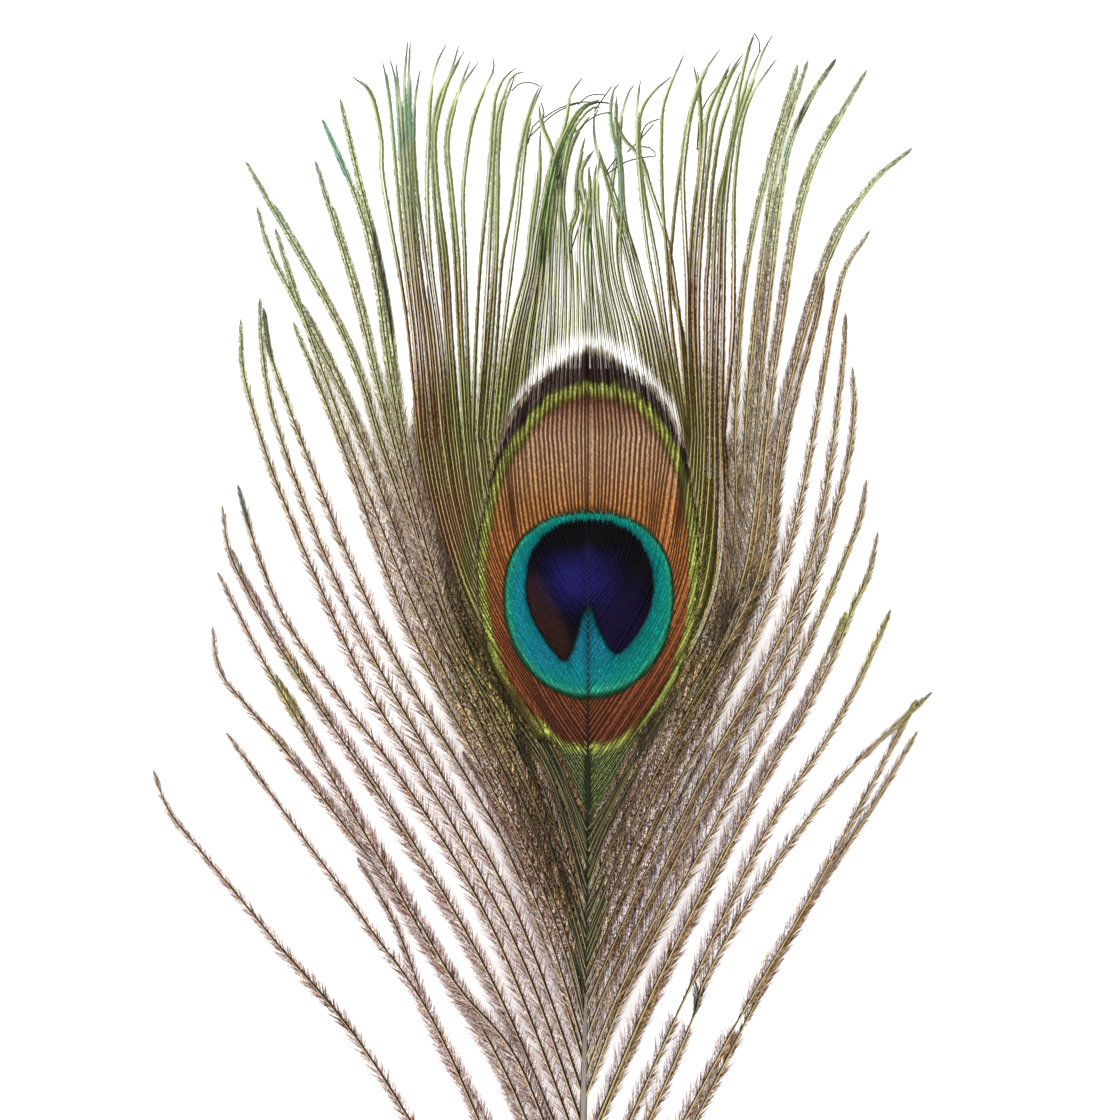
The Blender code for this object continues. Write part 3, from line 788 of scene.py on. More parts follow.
class Tree:
    # short ways to add and join nodes in a geometry or shader tree
    def __init__(self, tree):
        self.tree = tree

    def add(self, kind, inputs=(), **settings):
        node = self.tree.nodes.new(kind)
        for key, value in settings.items():
            setattr(node, key, value)
        for key, value in dict(inputs).items():
            self.feed(node.inputs[key], value)
        return node

    def feed(self, socket, value):
        if isinstance(value, bpy.types.NodeSocket):
            self.tree.links.new(value, socket)
        elif value is not None:
            socket.default_value = value

    def math(self, operation, first, second=None, third=None):
        return self.add("ShaderNodeMath", {0: first, 1: second, 2: third}, operation=operation).outputs[0]

    def times(self, first, *others):
        for other in others:
            first = self.math("MULTIPLY", first, other)
        return first

    def rest(self, value):
        return self.math("SUBTRACT", 1.0, value)

    def vector(self, operation, first, second=None, scale=None):
        node = self.add("ShaderNodeVectorMath", {0: first, 1: second, 3: scale}, operation=operation)
        return node.outputs["Vector"]

    def combine(self, x=0.0, y=0.0, z=0.0):
        return self.add("ShaderNodeCombineXYZ", {0: x, 1: y, 2: z}).outputs[0]

    def split(self, vector):
        return self.add("ShaderNodeSeparateXYZ", {0: vector}).outputs

    def noise(self, scale, detail=2.0, where=None):
        where = where or self.add("ShaderNodeTexCoord").outputs["Object"]
        inputs = {"Scale": scale, "Detail": detail, "Vector": where}
        return self.add("ShaderNodeTexNoise", inputs).outputs["Fac"]

    # for geometry trees
    def named(self, name, kind="FLOAT"):
        return self.add("GeometryNodeInputNamedAttribute", {"Name": name}, data_type=kind).outputs["Attribute"]

    def store(self, geometry, name, value, kind="FLOAT"):
        inputs = {"Geometry": geometry, "Name": name, "Value": value}
        node = self.add("GeometryNodeStoreNamedAttribute", inputs, data_type=kind, domain="POINT")
        return node.outputs["Geometry"]

    def chance(self, low, high, seed, salt):
        inputs = {2: low, 3: high, 8: self.math("ADD", seed, float(salt))}
        return self.add("FunctionNodeRandomValue", inputs, data_type="FLOAT").outputs[1]

    # for shader trees
    def value(self, name):
        return self.add("ShaderNodeAttribute", attribute_type="GEOMETRY", attribute_name=name).outputs["Fac"]

    def mix(self, share, first, second, blend="MIX"):
        inputs = {0: share, 6: first, 7: second}
        return self.add("ShaderNodeMix", inputs, data_type="RGBA", blend_type=blend).outputs[2]

    def multiplied(self, first, second):
        return self.mix(1.0, first, second, "MULTIPLY")

    def dappled(self, color, name, scale, detail):
        return self.multiplied(color, self.ramp(self.noise(scale, detail), factors(name)))

    def toned(self, name, first, second, share=1.0):
        # the second colour where a tone is high
        return self.mix(self.times(self.value(name), share), first, second)

    def ramp(self, value, stops):
        node = self.add("ShaderNodeValToRGB", {0: value})
        band = node.color_ramp
        while len(band.elements) < len(stops):
            band.elements.new(0.5)
        for element, (place, color) in zip(band.elements, stops, strict=True):
            element.position = place
            element.color = color
        return node.outputs["Color"]

    def between(self, value, low, high):
        # 0 below low, 1 above high
        inputs = {"Value": value, "From Min": low, "From Max": high}
        return self.add("ShaderNodeMapRange", inputs, interpolation_type="SMOOTHSTEP").outputs["Result"]


def newGeometryTree(name, numbers):
    group = bpy.data.node_groups.new(name, "GeometryNodeTree")
    group.interface.new_socket("Geometry", in_out="INPUT", socket_type="NodeSocketGeometry")
    for label, kind in numbers.items():
        group.interface.new_socket(label, in_out="INPUT", socket_type="NodeSocket" + kind)
    group.interface.new_socket("Geometry", in_out="OUTPUT", socket_type="NodeSocketGeometry")
    tree = Tree(group)
    return tree, tree.add("NodeGroupInput").outputs, tree.add("NodeGroupOutput").inputs


def endTree(tree, geometry, material, output):
    paint = tree.add("GeometryNodeSetMaterial", {"Geometry": geometry, "Material": material})
    tree.feed(output[0], paint.outputs[0])
    return tree.tree


barbules = {
    "looseSpacing": 0.105 * mm,
    "eyeSpacing": 0.23 * mm,
    "shortest": 0.12 * mm,      # shorter ones are left out
    "flatness": 0.5,
    "bend": 0.18,               # how far the ends sweep forward, as a share of the length
    "unevenness": 0.56,         # how much a barbule strays, and how much of that calm ones lose
    "calmed": 0.85,
    "turn": 0.2,                # radians it strays, then how much it rises and rolls
    "rise": 0.3,
    "roll": 0.7,
    "length": (0.82, 1.12),     # shortest and longest, of the length of its row
    "tuft": 0.6 * mm,           # size of the tufts, then how much they turn and lengthen
    "tuftTurn": 1.5,
    "tuftLength": 1.3,
}


def barbuleTree():
    # grows one row of barbules along each line
    tree, given, output = newGeometryTree(
        "growBarbules", {"Spacing": "Float", "Seed": "Int", "Material": "Material"})
    seed = given["Seed"]
    curve = tree.add("GeometryNodeMeshToCurve", {"Mesh": given["Geometry"]}).outputs[0]
    scatter = tree.add("GeometryNodeCurveToPoints", {"Curve": curve, "Length": given["Spacing"]}, mode="LENGTH")
    sown = tree.store(scatter.outputs["Points"], "barbRun", scatter.outputs["Tangent"], "FLOAT_VECTOR")
    # one barbule is a three-sided spike, one unit long and wide
    place = tree.add("GeometryNodeInputPosition").outputs[0]
    sizes = {"Vertices": 3, "Side Segments": 1, "Radius Top": 0.0, "Radius Bottom": 0.5, "Depth": 1.0}
    spike = tree.add("GeometryNodeMeshCone", sizes, fill_type="NONE").outputs["Mesh"]
    spike = tree.store(spike, "alongBarbule", tree.split(place)["Z"])

    run = tree.named("barbRun", "FLOAT_VECTOR")
    tuft = tree.noise(1.0, 1.0, tree.vector("SCALE", place, scale=1 / barbules["tuft"]))
    tuft = tree.math("SUBTRACT", tuft, 0.5)
    calm = tree.times(tree.named("calmness"), barbules["calmed"])
    wild = tree.times(barbules["unevenness"], tree.rest(calm))

    def strayed(key, salt):
        return tree.chance(-barbules[key], barbules[key], seed, salt)

    angle = tree.math("ADD", tree.named("rowAngle"), tree.times(strayed("turn", 1), wild))
    angle = tree.math("ADD", angle, tree.times(tuft, wild, barbules["tuftTurn"]))
    side = tree.vector("NORMALIZE", tree.vector("CROSS_PRODUCT", (0.0, 0.0, 1.0), run))
    side = tree.vector("SCALE", side, scale=tree.times(tree.named("rowSide"), tree.math("SINE", angle)))
    heading = tree.vector("ADD", tree.vector("SCALE", run, scale=tree.math("COSINE", angle)), side)
    heading = tree.vector("ADD", heading, tree.combine(z=tree.times(strayed("rise", 2), wild)))
    turn = tree.add("FunctionNodeAxesToRotation", {
        "Primary Axis": heading, "Secondary Axis": tree.combine(x=strayed("roll", 3), z=1.0),
    }, primary_axis="Z", secondary_axis="Y")
    length = tree.math("ADD", 1.0, tree.times(tuft, wild, barbules["tuftLength"]))
    length = tree.times(tree.named("rowLength"), length, tree.chance(*barbules["length"], seed, 4))
    width = tree.named("barbuleWidth")
    sown = tree.store(sown, "barbuleTone", tree.chance(0.0, 1.0, seed, 5))
    sown = tree.store(sown, "barbuleLength", length)
    grow = tree.add("GeometryNodeInstanceOnPoints", {
        "Points": sown, "Instance": spike, "Rotation": turn.outputs[0],
        "Selection": tree.math("GREATER_THAN", tree.named("rowLength"), barbules["shortest"]),
        "Scale": tree.combine(width, tree.times(width, barbules["flatness"]), length),
    })
    realize = tree.add("GeometryNodeRealizeInstances", {"Geometry": grow.outputs[0]})
    along = tree.named("alongBarbule")
    push = tree.times(along, along, tree.named("barbuleLength"), barbules["bend"])
    push = tree.vector("SCALE", tree.named("barbRun", "FLOAT_VECTOR"), scale=push)
    bent = tree.add("GeometryNodeSetPosition", {"Geometry": realize.outputs[0], "Offset": push})
    return endTree(tree, bent.outputs[0], given["Material"], output)


def stemTree():
    # sweeps a small oval along every line
    tree, given, output = newGeometryTree(
        "sweepStems", {"Sides": "Int", "Flatness": "Float", "Material": "Material"})
    curve = tree.add("GeometryNodeMeshToCurve", {"Mesh": given["Geometry"]}).outputs[0]
    upright = tree.add("GeometryNodeSetCurveNormal", {"Curve": curve}, mode="Z_UP").outputs[0]
    sizes = {"Resolution": given["Sides"], "Radius": 1.0}
    oval = tree.add("GeometryNodeCurvePrimitiveCircle", sizes, mode="RADIUS").outputs["Curve"]
    place = tree.add("GeometryNodeInputPosition").outputs[0]
    oval = tree.store(oval, "stemSide", tree.split(place)["X"])
    flat = {"Geometry": oval, "Scale": tree.combine(1.0, given["Flatness"], 1.0)}
    oval = tree.add("GeometryNodeTransform", flat).outputs[0]
    sweep = tree.add("GeometryNodeCurveToMesh", {
        "Curve": upright, "Profile Curve": oval, "Scale": tree.named("stemRadius"), "Fill Caps": True,
    })
    return endTree(tree, sweep.outputs[0], given["Material"], output)


def grown(name, source, group, values):
    # the tree's result on a line object, as a plain mesh
    modifier = source.modifiers.new(group.name, "NODES")
    modifier.node_group = group
    for item in group.interface.items_tree:
        if item.name in values:
            modifier[item.identifier] = values[item.name]
    graph = bpy.context.evaluated_depsgraph_get()
    mesh = bpy.data.meshes.new_from_object(source.evaluated_get(graph))
    mesh.name = name
    source.modifiers.remove(modifier)
    bpy.data.objects.remove(source)
    return placed(name, mesh)


marks = {
    "shift": 10.0,          # pixels that a barb's outer bands start sooner or later
    "ragged": 2.2,          # and that single points lie beside the bands
    "reach": (150, 0.62),   # how far from the eye's middle it has bands, and the height's share in that
    "eyeLength": 342,       # pixels from its foot to its top
}


def markEye(mesh):
    # where each point lies in the eye
    at = readPlaces(mesh) / pixel
    x, y = at[:, 0] + middleOfPhoto[0], middleOfPhoto[1] - at[:, 1]
    middle, middleRow = eye["bronze"][:2]
    outward = smoothStep(-30, 6, ovalDistance(x, y, "bronze"))
    shift = (readValues(mesh, "barbTone") - 0.5) * marks["shift"] * (0.15 + 0.85 * outward)
    ragged = np.random.default_rng(5).uniform(-marks["ragged"], marks["ragged"], len(x))
    ragged = ragged * (0.25 + 0.75 * outward)
    reach, flatness = marks["reach"]
    inner = np.hypot(x - middle, (y - middleRow) * flatness) < reach
    ring = np.full(len(x), 8.0)
    ring[inner] = np.clip(eyeRing(x[inner] + ragged[inner], y[inner] + shift[inner]), 0, 7.5)
    aside = np.abs(x - eye["middle"])
    bound = reachAt("foot", y)
    foot = smoothStep(3.2, 3.9, ring) * smoothStep(bound + 3, bound - 3, aside)
    foot = foot * smoothStep(690, 722, y + 0.3 * aside) * (ring < 7.9)
    umber = smoothStep(562, 590, y) * smoothStep(582, 560, x) * smoothStep(556, 540, x - 0.45 * (y - 590))
    values = {
        "eyeRing": ring,
        "eyeHeight": np.clip((middleRow - y) / marks["eyeLength"] + 0.5, 0, 1),
        # violet in the dark spot, partly a painted highlight along the shaft
        "violetAndHighlightTone": np.clip(glow(x, y, "violetAndHighlight"), 0, 1) * smoothStep(541, 556, y),
        "purpleTone": smoothStep(560, 612, y) * smoothStep(590, 602, x) * smoothStep(656, 636, x),
        "umberTone": umber,
        "lowTone": np.clip(glow(x, y, "low"), 0, 1),
        "peakTone": glow(x, y, "peak"),
        "footTone": foot * readValues(mesh, "inEye"),
    }
    for name, value in values.items():
        writeValues(mesh, name, value)


def mapFromAbove(mesh):
    # one flat map over the whole feather, seen from above
    low, high = (np.array(corner[:2]) for corner in cadBox)
    flat = (readPlaces(mesh)[:, :2] - low) / ((high - low) * 1.06) + 0.02
    corners = np.empty(len(mesh.loops), np.int32)
    mesh.loops.foreach_get("vertex_index", corners)
    layer = mesh.uv_layers.new(name="OFBake")
    layer.data.foreach_set("uv", flat[corners].astype(np.float32).ravel())


# Photographed colours, alone or as a ramp's places and colours
finish = {
    # loose barbules, one tone each, from the palest to the darkest and a few gold ones
    "left": [
        (0, 246, 240, 242), (0.3, 228, 216, 218), (0.52, 200, 178, 174), (0.66, 166, 116, 96),
        (0.80, 120, 62, 44), (0.93, 78, 36, 26), (0.955, 216, 180, 122), (1, 222, 190, 132),
    ],
    "rightFar": [
        (0, 246, 242, 246), (0.3, 226, 220, 226), (0.52, 194, 180, 186), (0.66, 158, 116, 98),
        (0.80, 108, 60, 44), (0.93, 66, 34, 24), (0.955, 218, 190, 130), (1, 222, 198, 140),
    ],
    "rightNear": [
        (0, 206, 186, 170), (0.3, 168, 128, 98), (0.6, 118, 78, 52), (0.92, 66, 38, 26), (0.95, 214, 172, 106),
        (1, 220, 182, 116),
    ],
    "olive": [
        (0, 218, 214, 132), (0.35, 166, 162, 72), (0.65, 108, 102, 34), (0.88, 52, 46, 14),
        (0.91, 222, 206, 118), (1, 228, 212, 130),
    ],
    "brown": [
        (0, 232, 208, 190), (0.2, 176, 132, 100), (0.42, 92, 50, 26), (0.84, 24, 14, 6), (0.87, 222, 188, 112),
        (1, 234, 206, 132),
    ],
    "stripBrown": [
        (0, 206, 174, 142), (0.3, 158, 108, 78), (0.6, 106, 66, 42), (0.84, 60, 36, 22), (0.88, 226, 192, 120),
        (1, 232, 204, 134),
    ],
    "green": [
        (0, 244, 248, 228), (0.35, 228, 234, 202), (0.62, 200, 208, 166), (0.85, 126, 140, 84), (1, 62, 72, 36),
    ],
    "teal": [(0, 150, 212, 198), (0.5, 92, 172, 160), (1, 26, 84, 78)],
    "lime": [
        (0, 160, 200, 110), (0.35, 92, 160, 72), (0.6, 30, 84, 40), (0.85, 8, 36, 22), (0.89, 214, 206, 110),
        (1, 224, 214, 122),
    ],
    "foot": [(0, 220, 228, 156), (0.4, 190, 202, 126), (0.75, 140, 152, 88), (1, 58, 68, 34)],
    "dark": (30, 28, 16), "palest": (216, 206, 190), "crossing": (204, 176, 168),
    "leftTip": (96, 56, 44), "rightTip": (88, 68, 58), "greenTip": (72, 86, 42),
    # the strips above the eye, from its left edge to its right one
    "filaments": [
        (0, 150, 132, 70), (0.05, 136, 104, 60), (0.09, 164, 132, 88), (0.12, 172, 144, 100),
        (0.145, 168, 184, 92), (0.185, 172, 194, 100), (0.205, 178, 156, 136), (0.235, 146, 158, 82),
        (0.29, 160, 172, 94), (0.335, 200, 212, 150), (0.45, 208, 220, 166), (0.60, 212, 222, 176),
        (0.71, 196, 206, 148), (0.77, 176, 170, 110), (0.845, 156, 158, 84), (0.885, 166, 176, 96),
        (0.90, 172, 122, 84), (0.955, 168, 118, 84), (1, 150, 104, 70),
    ],
    # stems: the dark side and the pale strip, then the tip and the bare end
    "leftStem": (38, 24, 12), "rightStem": (42, 30, 10), "greenStem": (66, 80, 32), "closeStem": (24, 46, 22),
    "leftStrip": (214, 196, 160), "rightStrip": (204, 188, 136), "greenStrip": (218, 226, 164),
    "closeStrip": (196, 170, 112), "tealStem": (70, 150, 138), "footStem": (34, 44, 22),
    "tip": (104, 114, 98), "bare": (112, 92, 84),
    # lines along the strips: dark and pale ones among olive and among brown barbules, and higher up
    "oliveLine": (62, 52, 16), "brownLine": (74, 38, 18), "greenLine": (124, 138, 80), "limeLine": (18, 62, 30),
    "paleOliveLine": (214, 212, 140), "paleBrownLine": (220, 184, 132), "paleGreenLine": (222, 228, 184),
    "paleLimeLine": (150, 190, 96),
    # the eye: spots in it, the violet one partly a painted highlight, then a sixth of the ring's number, then
    # bronze from the foot of the eye to its top
    "violetAndHighlight": (42, 37, 126), "purple": (22, 10, 54), "umber": (62, 34, 28), "blue": (34, 148, 192),
    "bands": [
        (0, 6, 5, 14), (0.155, 4, 4, 8), (0.164, 2, 8, 16), (0.172, 4, 108, 116), (0.19, 0, 142, 134),
        (0.24, 2, 160, 150), (0.285, 16, 164, 140), (0.306, 60, 184, 150), (0.317, 30, 122, 88),
        (0.327, 14, 70, 46), (0.334, 34, 56, 30), (0.342, 104, 62, 30), (0.355, 160, 92, 40),
        (0.49, 120, 75, 40), (0.5, 156, 156, 76), (0.54, 204, 212, 110), (0.61, 190, 204, 104),
        (0.645, 110, 118, 56), (0.672, 58, 36, 28), (0.80, 62, 40, 34), (0.822, 96, 92, 46),
        (0.84, 150, 150, 76),
    ],
    "bronze": [
        (0, 126, 72, 48), (0.14, 146, 82, 52), (0.32, 174, 102, 58), (0.50, 192, 120, 64), (0.68, 212, 146, 82),
        (0.77, 222, 172, 122), (0.88, 224, 182, 144), (0.95, 192, 142, 110), (1, 136, 86, 66),
    ],
    "groundFoot": (96, 108, 60), "slits": (232, 214, 206),
    # the shaft, from its cut end to its tip, and its edges
    "shaft": [
        (0, 226, 214, 190), (0.12, 214, 200, 172), (0.24, 176, 164, 146), (0.42, 138, 128, 124),
        (0.50, 70, 58, 46), (0.54, 26, 34, 24), (0.6, 10, 22, 22), (1, 8, 8, 20),
    ],
    "shaftEdge": (58, 44, 38),
}
# Ramps that a colour is multiplied by: place, then one factor or three
shades = {
    "mottled": [(0.38, 0.18, 0.1, 0.06), (0.5, 0.84, 0.76, 0.68), (0.64, 1.75, 1.7, 1.7)],
    "speckle": [(0.2, 1.25), (0.55, 0.85, 0.82, 0.75), (0.88, 0.22, 0.2, 0.12), (0.92, 1.9, 1.8, 1.5)],
    "specks": [(0.36, 0.22, 0.18, 0.12), (0.5, 0.85, 0.85, 0.8), (0.62, 1.5, 1.42, 1.1)],
    "ownShade": [(0.12, 0.22, 0.19, 0.12), (0.35, 0.6, 0.58, 0.5), (0.55, 1), (0.85, 1.25)],
    "ownGlow": [(0.1, 0.55, 0.52, 0.52), (0.45, 0.95), (0.9, 1.35, 1.35, 1.4)],
    "glint": [(0, 0.4), (0.5, 0.95), (0.85, 1.3), (1, 2.3, 2.2, 2)],
    "patches": [(0.3, 0.84), (0.7, 1.1)],
    "stemPatches": [(0.3, 0.75), (0.7, 1.15)],
    # the eye's ground: its colours darkened, as painted shade between the barbs above it
    "ground": [(0.35, 0.30, 0.28, 0.28), (0.65, 0.62, 0.60, 0.60)],
    "fibres": [(0.35, 0.72, 0.70, 0.68), (0.65, 1.12)],
    "paper": [(0.3, 0.93), (0.7, 0.95)],
}


def newMaterial(name, roughness, specular):
    material = bpy.data.materials.new(name)
    material.use_nodes = True
    shader = material.node_tree.nodes["Principled BSDF"]
    shader.inputs["Roughness"].default_value = roughness
    shader.inputs["Specular IOR Level"].default_value = specular
    return material, Tree(material.node_tree), shader


def shown(name):
    return seen(*finish[name])


def stops(name):
    return [(place, seen(*color)) for place, *color in finish[name]]


def factors(name):
    return [(place, (*(given * 3)[:3], 1)) for place, *given in shades[name]]


def eyeColors(tree):
    ring = tree.value("eyeRing")
    bands = tree.ramp(tree.math("DIVIDE", ring, 6.0), stops("bands"))
    inBronze = tree.times(tree.between(ring, 2.02, 2.12), tree.between(ring, 2.99, 2.90))
    bands = tree.mix(inBronze, bands, tree.ramp(tree.value("eyeHeight"), stops("bronze")))
    inTurquoise = tree.times(tree.between(ring, 1.0, 1.08), tree.between(ring, 1.9, 1.6), 0.6)
    bands = tree.toned("lowTone", bands, shown("blue"), inTurquoise)
    # the violet is partly the spot's own colour and partly a painted highlight
    for name in ("umber", "purple", "violetAndHighlight"):
        bands = tree.toned(name + "Tone", bands, shown(name), tree.between(ring, 0.99, 0.94))
    return bands


def barbuleMaterial():
    material, tree, shader = newMaterial("barbuleSheen", 0.5, 0.05)
    grain, own, ring, strip = (tree.value(name) for name in ("barbuleTone", "barbTone", "eyeRing", "stripTone"))

    def dyed(name):
        return tree.ramp(grain, stops(name))

    right = tree.between(tree.value("barbSide"), -0.5, 0.5)
    color = tree.mix(right, dyed("left"), tree.toned("farSide", dyed("rightNear"), dyed("rightFar")))
    for name in ("brown", "olive", "green"):
        color = tree.toned(name + "Tone", color, dyed(name), 0.9)
    mottled = tree.dappled(color, "mottled", 2600.0, 1.0)
    color = tree.mix(tree.math("MAXIMUM", tree.value("closeTone"), 0.62), color, mottled)
    # the strips above the eye
    strips = tree.ramp(tree.value("acrossTone"), stops("filaments"))
    strips = tree.multiplied(strips, tree.ramp(grain, factors("speckle")))
    strips = tree.toned("brownTone", strips, dyed("stripBrown"), 0.85)
    strips = tree.toned("oliveTone", strips, dyed("olive"))
    strips = tree.multiplied(strips, tree.ramp(own, factors("ownShade")))
    pale = tree.times(tree.between(own, 0.62, 0.85), 0.75)
    for name in ("brownTone", "oliveTone"):
        pale = tree.times(pale, tree.rest(tree.times(tree.value(name), 0.8)))
    strips = tree.mix(pale, strips, shown("palest"))
    specks = tree.ramp(tree.noise(3000.0, 1.0), factors("specks"))
    strips = tree.multiplied(strips, tree.toned("greenTone", specks, (1, 1, 1, 1)))
    strips = tree.toned("greenTone", strips, dyed("green"))
    color = tree.mix(strip, color, strips)
    # the free ends are darker
    ends = tree.mix(right, shown("leftTip"), shown("rightTip"))
    ends = tree.mix(tree.math("MAXIMUM", tree.value("greenTone"), strip), ends, shown("greenTip"))
    ended = tree.math("ADD", 0.65, tree.times(strip, 0.2))
    ended = tree.times(ended, tree.between(tree.value("alongBarbule"), 0.55, 1.0))
    color = tree.mix(ended, color, ends)
    for name in ("lime", "teal"):
        color = tree.toned(name + "Tone", color, dyed(name), 0.85)
    color = tree.toned("darkTone", color, shown("dark"), 0.9)
    # the eye
    inEye = tree.multiplied(eyeColors(tree), tree.ramp(grain, factors("glint")))
    glowing = tree.multiplied(inEye, tree.ramp(own, factors("ownGlow")))
    inEye = tree.mix(tree.between(ring, 1.2, 2.1), inEye, glowing)
    speckled = tree.times(tree.between(ring, 2.85, 3.0), tree.between(ring, 3.95, 3.75), 0.75)
    inEye = tree.mix(speckled, inEye, tree.multiplied(inEye, specks))
    # every other barb is pale where it crosses the dark band
    crossing = tree.times(tree.between(ring, 3.9, 4.2), tree.between(own, 0.4, 0.54), 0.85)
    upper = tree.between(tree.value("eyeHeight"), 0.8, 0.86)
    crossing = tree.times(crossing, tree.rest(tree.value("peakTone")), upper)
    inEye = tree.mix(crossing, inEye, shown("crossing"))
    color = tree.mix(tree.between(ring, 5.05, 4.9), color, inEye)
    color = tree.toned("footTone", color, dyed("foot"))
    tree.feed(shader.inputs["Base Color"], tree.dappled(color, "patches", 4000.0, 3.0))
    tree.feed(shader.inputs["Roughness"], tree.math("ADD", 0.42, tree.times(grain, 0.25)))
    return material


def stemMaterial():
    material, tree, shader = newMaterial("barbHorn", 0.45, 0.12)
    ring, strong, side = (tree.value(name) for name in ("eyeRing", "strongTone", "barbSide"))
    right = tree.between(side, -0.5, 0.5)
    # the pale strip lies on the side away from the feather's tip, wider on the right barbs
    edge = tree.math("ADD", 0.28, tree.times(right, -0.30, tree.rest(tree.value("closeTone"))))
    across = tree.math("SUBTRACT", tree.times(tree.value("stemSide"), side), edge)
    pale = tree.times(tree.between(across, -0.12, 0.12), tree.rest(tree.times(tree.value("brownTone"), 0.4)))
    sides = []
    for part, share in (("Stem", 0.75), ("Strip", 0.7)):
        color = tree.mix(right, shown("left" + part), shown("right" + part))
        color = tree.toned("greenTone", color, shown("green" + part))
        sides.append(tree.toned("closeTone", color, shown("close" + part), share))
    color = tree.mix(pale, *sides)
    lines = []
    for names in (("paleOliveLine", "paleBrownLine", "paleGreenLine"), ("oliveLine", "brownLine", "greenLine")):
        line = tree.toned("brownTone", *(shown(name) for name in names[:2]))
        lines.append(tree.toned("greenTone", line, shown(names[2])))
    color = tree.toned("stripTone", color, tree.mix(strong, *lines))
    color = tree.toned("tealTone", color, shown("tealStem"), 0.5)
    color = tree.toned("limeTone", color, tree.mix(strong, shown("paleLimeLine"), shown("limeLine")), 0.8)
    color = tree.toned("darkTone", color, shown("dark"), 0.9)
    color = tree.mix(tree.between(tree.value("alongBarb"), 0.94, 0.99), color, shown("tip"))
    # in the eye they are darker than the barbules, but for the pale ridges
    depth = tree.mix(tree.between(ring, 2.0, 2.08), (0.5, 0.5, 0.5, 1), (0.12, 0.09, 0.08, 1))
    ridges = tree.times(tree.between(ring, 1.2, 2.05), tree.rest(strong))
    inEye = tree.multiplied(eyeColors(tree), tree.mix(ridges, depth, (1.15, 1.15, 1.2, 1)))
    color = tree.mix(tree.between(ring, 5.05, 4.9), color, inEye)
    color = tree.toned("footTone", color, shown("footStem"))
    color = tree.toned("bareTone", color, shown("bare"))
    tree.feed(shader.inputs["Base Color"], tree.dappled(color, "stemPatches", 5000.0, 3.0))
    return material


def shadedGroundMaterial():
    material, tree, shader = newMaterial("shadedEyeGround", 0.7, 0.04)
    color = tree.toned("footTone", eyeColors(tree), shown("groundFoot"))
    # painted shade: the eye's colours darkened, for the shade between the barbs above the ground
    color = tree.dappled(color, "ground", 6000.0, 2.0)
    # the surface shows through pale slits above the eye
    place = tree.vector("MULTIPLY", tree.add("ShaderNodeTexCoord").outputs["Object"], (1.0, 0.03, 1.0))
    slits = tree.times(
        tree.between(tree.noise(1500.0, 1.0, place), 0.5, 0.6), tree.between(tree.value("eyeRing"), 3.7, 4.1),
        tree.rest(tree.value("footTone")), tree.between(tree.value("eyeHeight"), 0.8, 0.88))
    tree.feed(shader.inputs["Base Color"], tree.mix(slits, color, shown("slits")))
    return material


def quillMaterial():
    material, tree, shader = newMaterial("quillHorn", 0.45, 0.15)
    place = tree.add("ShaderNodeTexCoord").outputs["Object"]
    height = tree.math("MULTIPLY_ADD", tree.split(place)["Y"], 1 / 0.28, 0.5)
    fibres = tree.noise(3200.0, 4.0, tree.vector("MULTIPLY", place, (1.0, 0.06, 1.0)))
    color = tree.multiplied(tree.ramp(height, stops("shaft")), tree.ramp(fibres, factors("fibres")))
    edge = tree.between(tree.math("ABSOLUTE", tree.value("stemSide")), 0.55, 0.85)
    tree.feed(shader.inputs["Base Color"], tree.mix(tree.times(edge, 0.75), color, shown("shaftEdge")))
    bump = tree.add("ShaderNodeBump", {"Strength": 0.25, "Distance": 0.05 * mm, "Height": fibres})
    tree.feed(shader.inputs["Normal"], bump.outputs[0])
    return material


barbuleFinish, stemFinish = barbuleMaterial(), stemMaterial()
shadedGroundFinish, quillFinish = shadedGroundMaterial(), quillMaterial()
growBarbules, sweepStems = barbuleTree(), stemTree()
print("feather: materials and trees ready")

looseLeft = [fillBarb(b) for b in looseBarbs(leftLocks, -1)]
looseRight = [fillBarb(b) for b in looseBarbs(rightLocks, 1)]
eyeLeft, eyeRight = eyeBarbs(leftFlow, leftFilaments, -1), eyeBarbs(rightFlow, rightFilaments, 1)
eyeGroup = [fillBarb(b) for b in eyeLeft + eyeRight]
wispGroup = [fillBarb(b) for b in wispBarbs(wisps, eyeGroup)]
print("feather:", len(looseLeft) + len(looseRight), "loose barbs,", len(eyeGroup), "eye barbs")


def addBarbules(name, chosen, hands, spacing, seed):
    lines = lineObject(name + "Lines", chosen, hands)
    return grown(name, lines, growBarbules, {
        "Spacing": barbules[spacing], "Seed": seed, "Material": barbuleFinish})


def addStems(name, chosen, sides, flatness, material, lift=0.0):
    lines = lineObject(name + "Lines", chosen, lift=lift)
    return grown(name, lines, sweepStems, {"Sides": sides, "Flatness": flatness, "Material": material})


pieces = {}
for side, chosen in (("left", looseLeft), ("right", looseRight)):
    for part, hand in (("Far", 1), ("Near", -1)):
        name = side + "Barbules" + part
        pieces[name] = addBarbules(name, chosen, (hand,), "looseSpacing", 3 + len(pieces))
pieces["eyeBarbulesLeft"] = addBarbules("eyeBarbulesLeft", eyeLeft, (1, -1), "eyeSpacing", 7)
pieces["eyeBarbulesRight"] = addBarbules("eyeBarbulesRight", eyeRight, (1, -1), "eyeSpacing", 8)
pieces["looseStems"] = addStems("looseStems", looseLeft + looseRight, 5, 0.8, stemFinish, 0.14 * mm)
pieces["eyeStems"] = addStems("eyeStems", eyeGroup + wispGroup, 4, 0.8, stemFinish, 0.07 * mm)
print("feather: barbs and barbules grown")


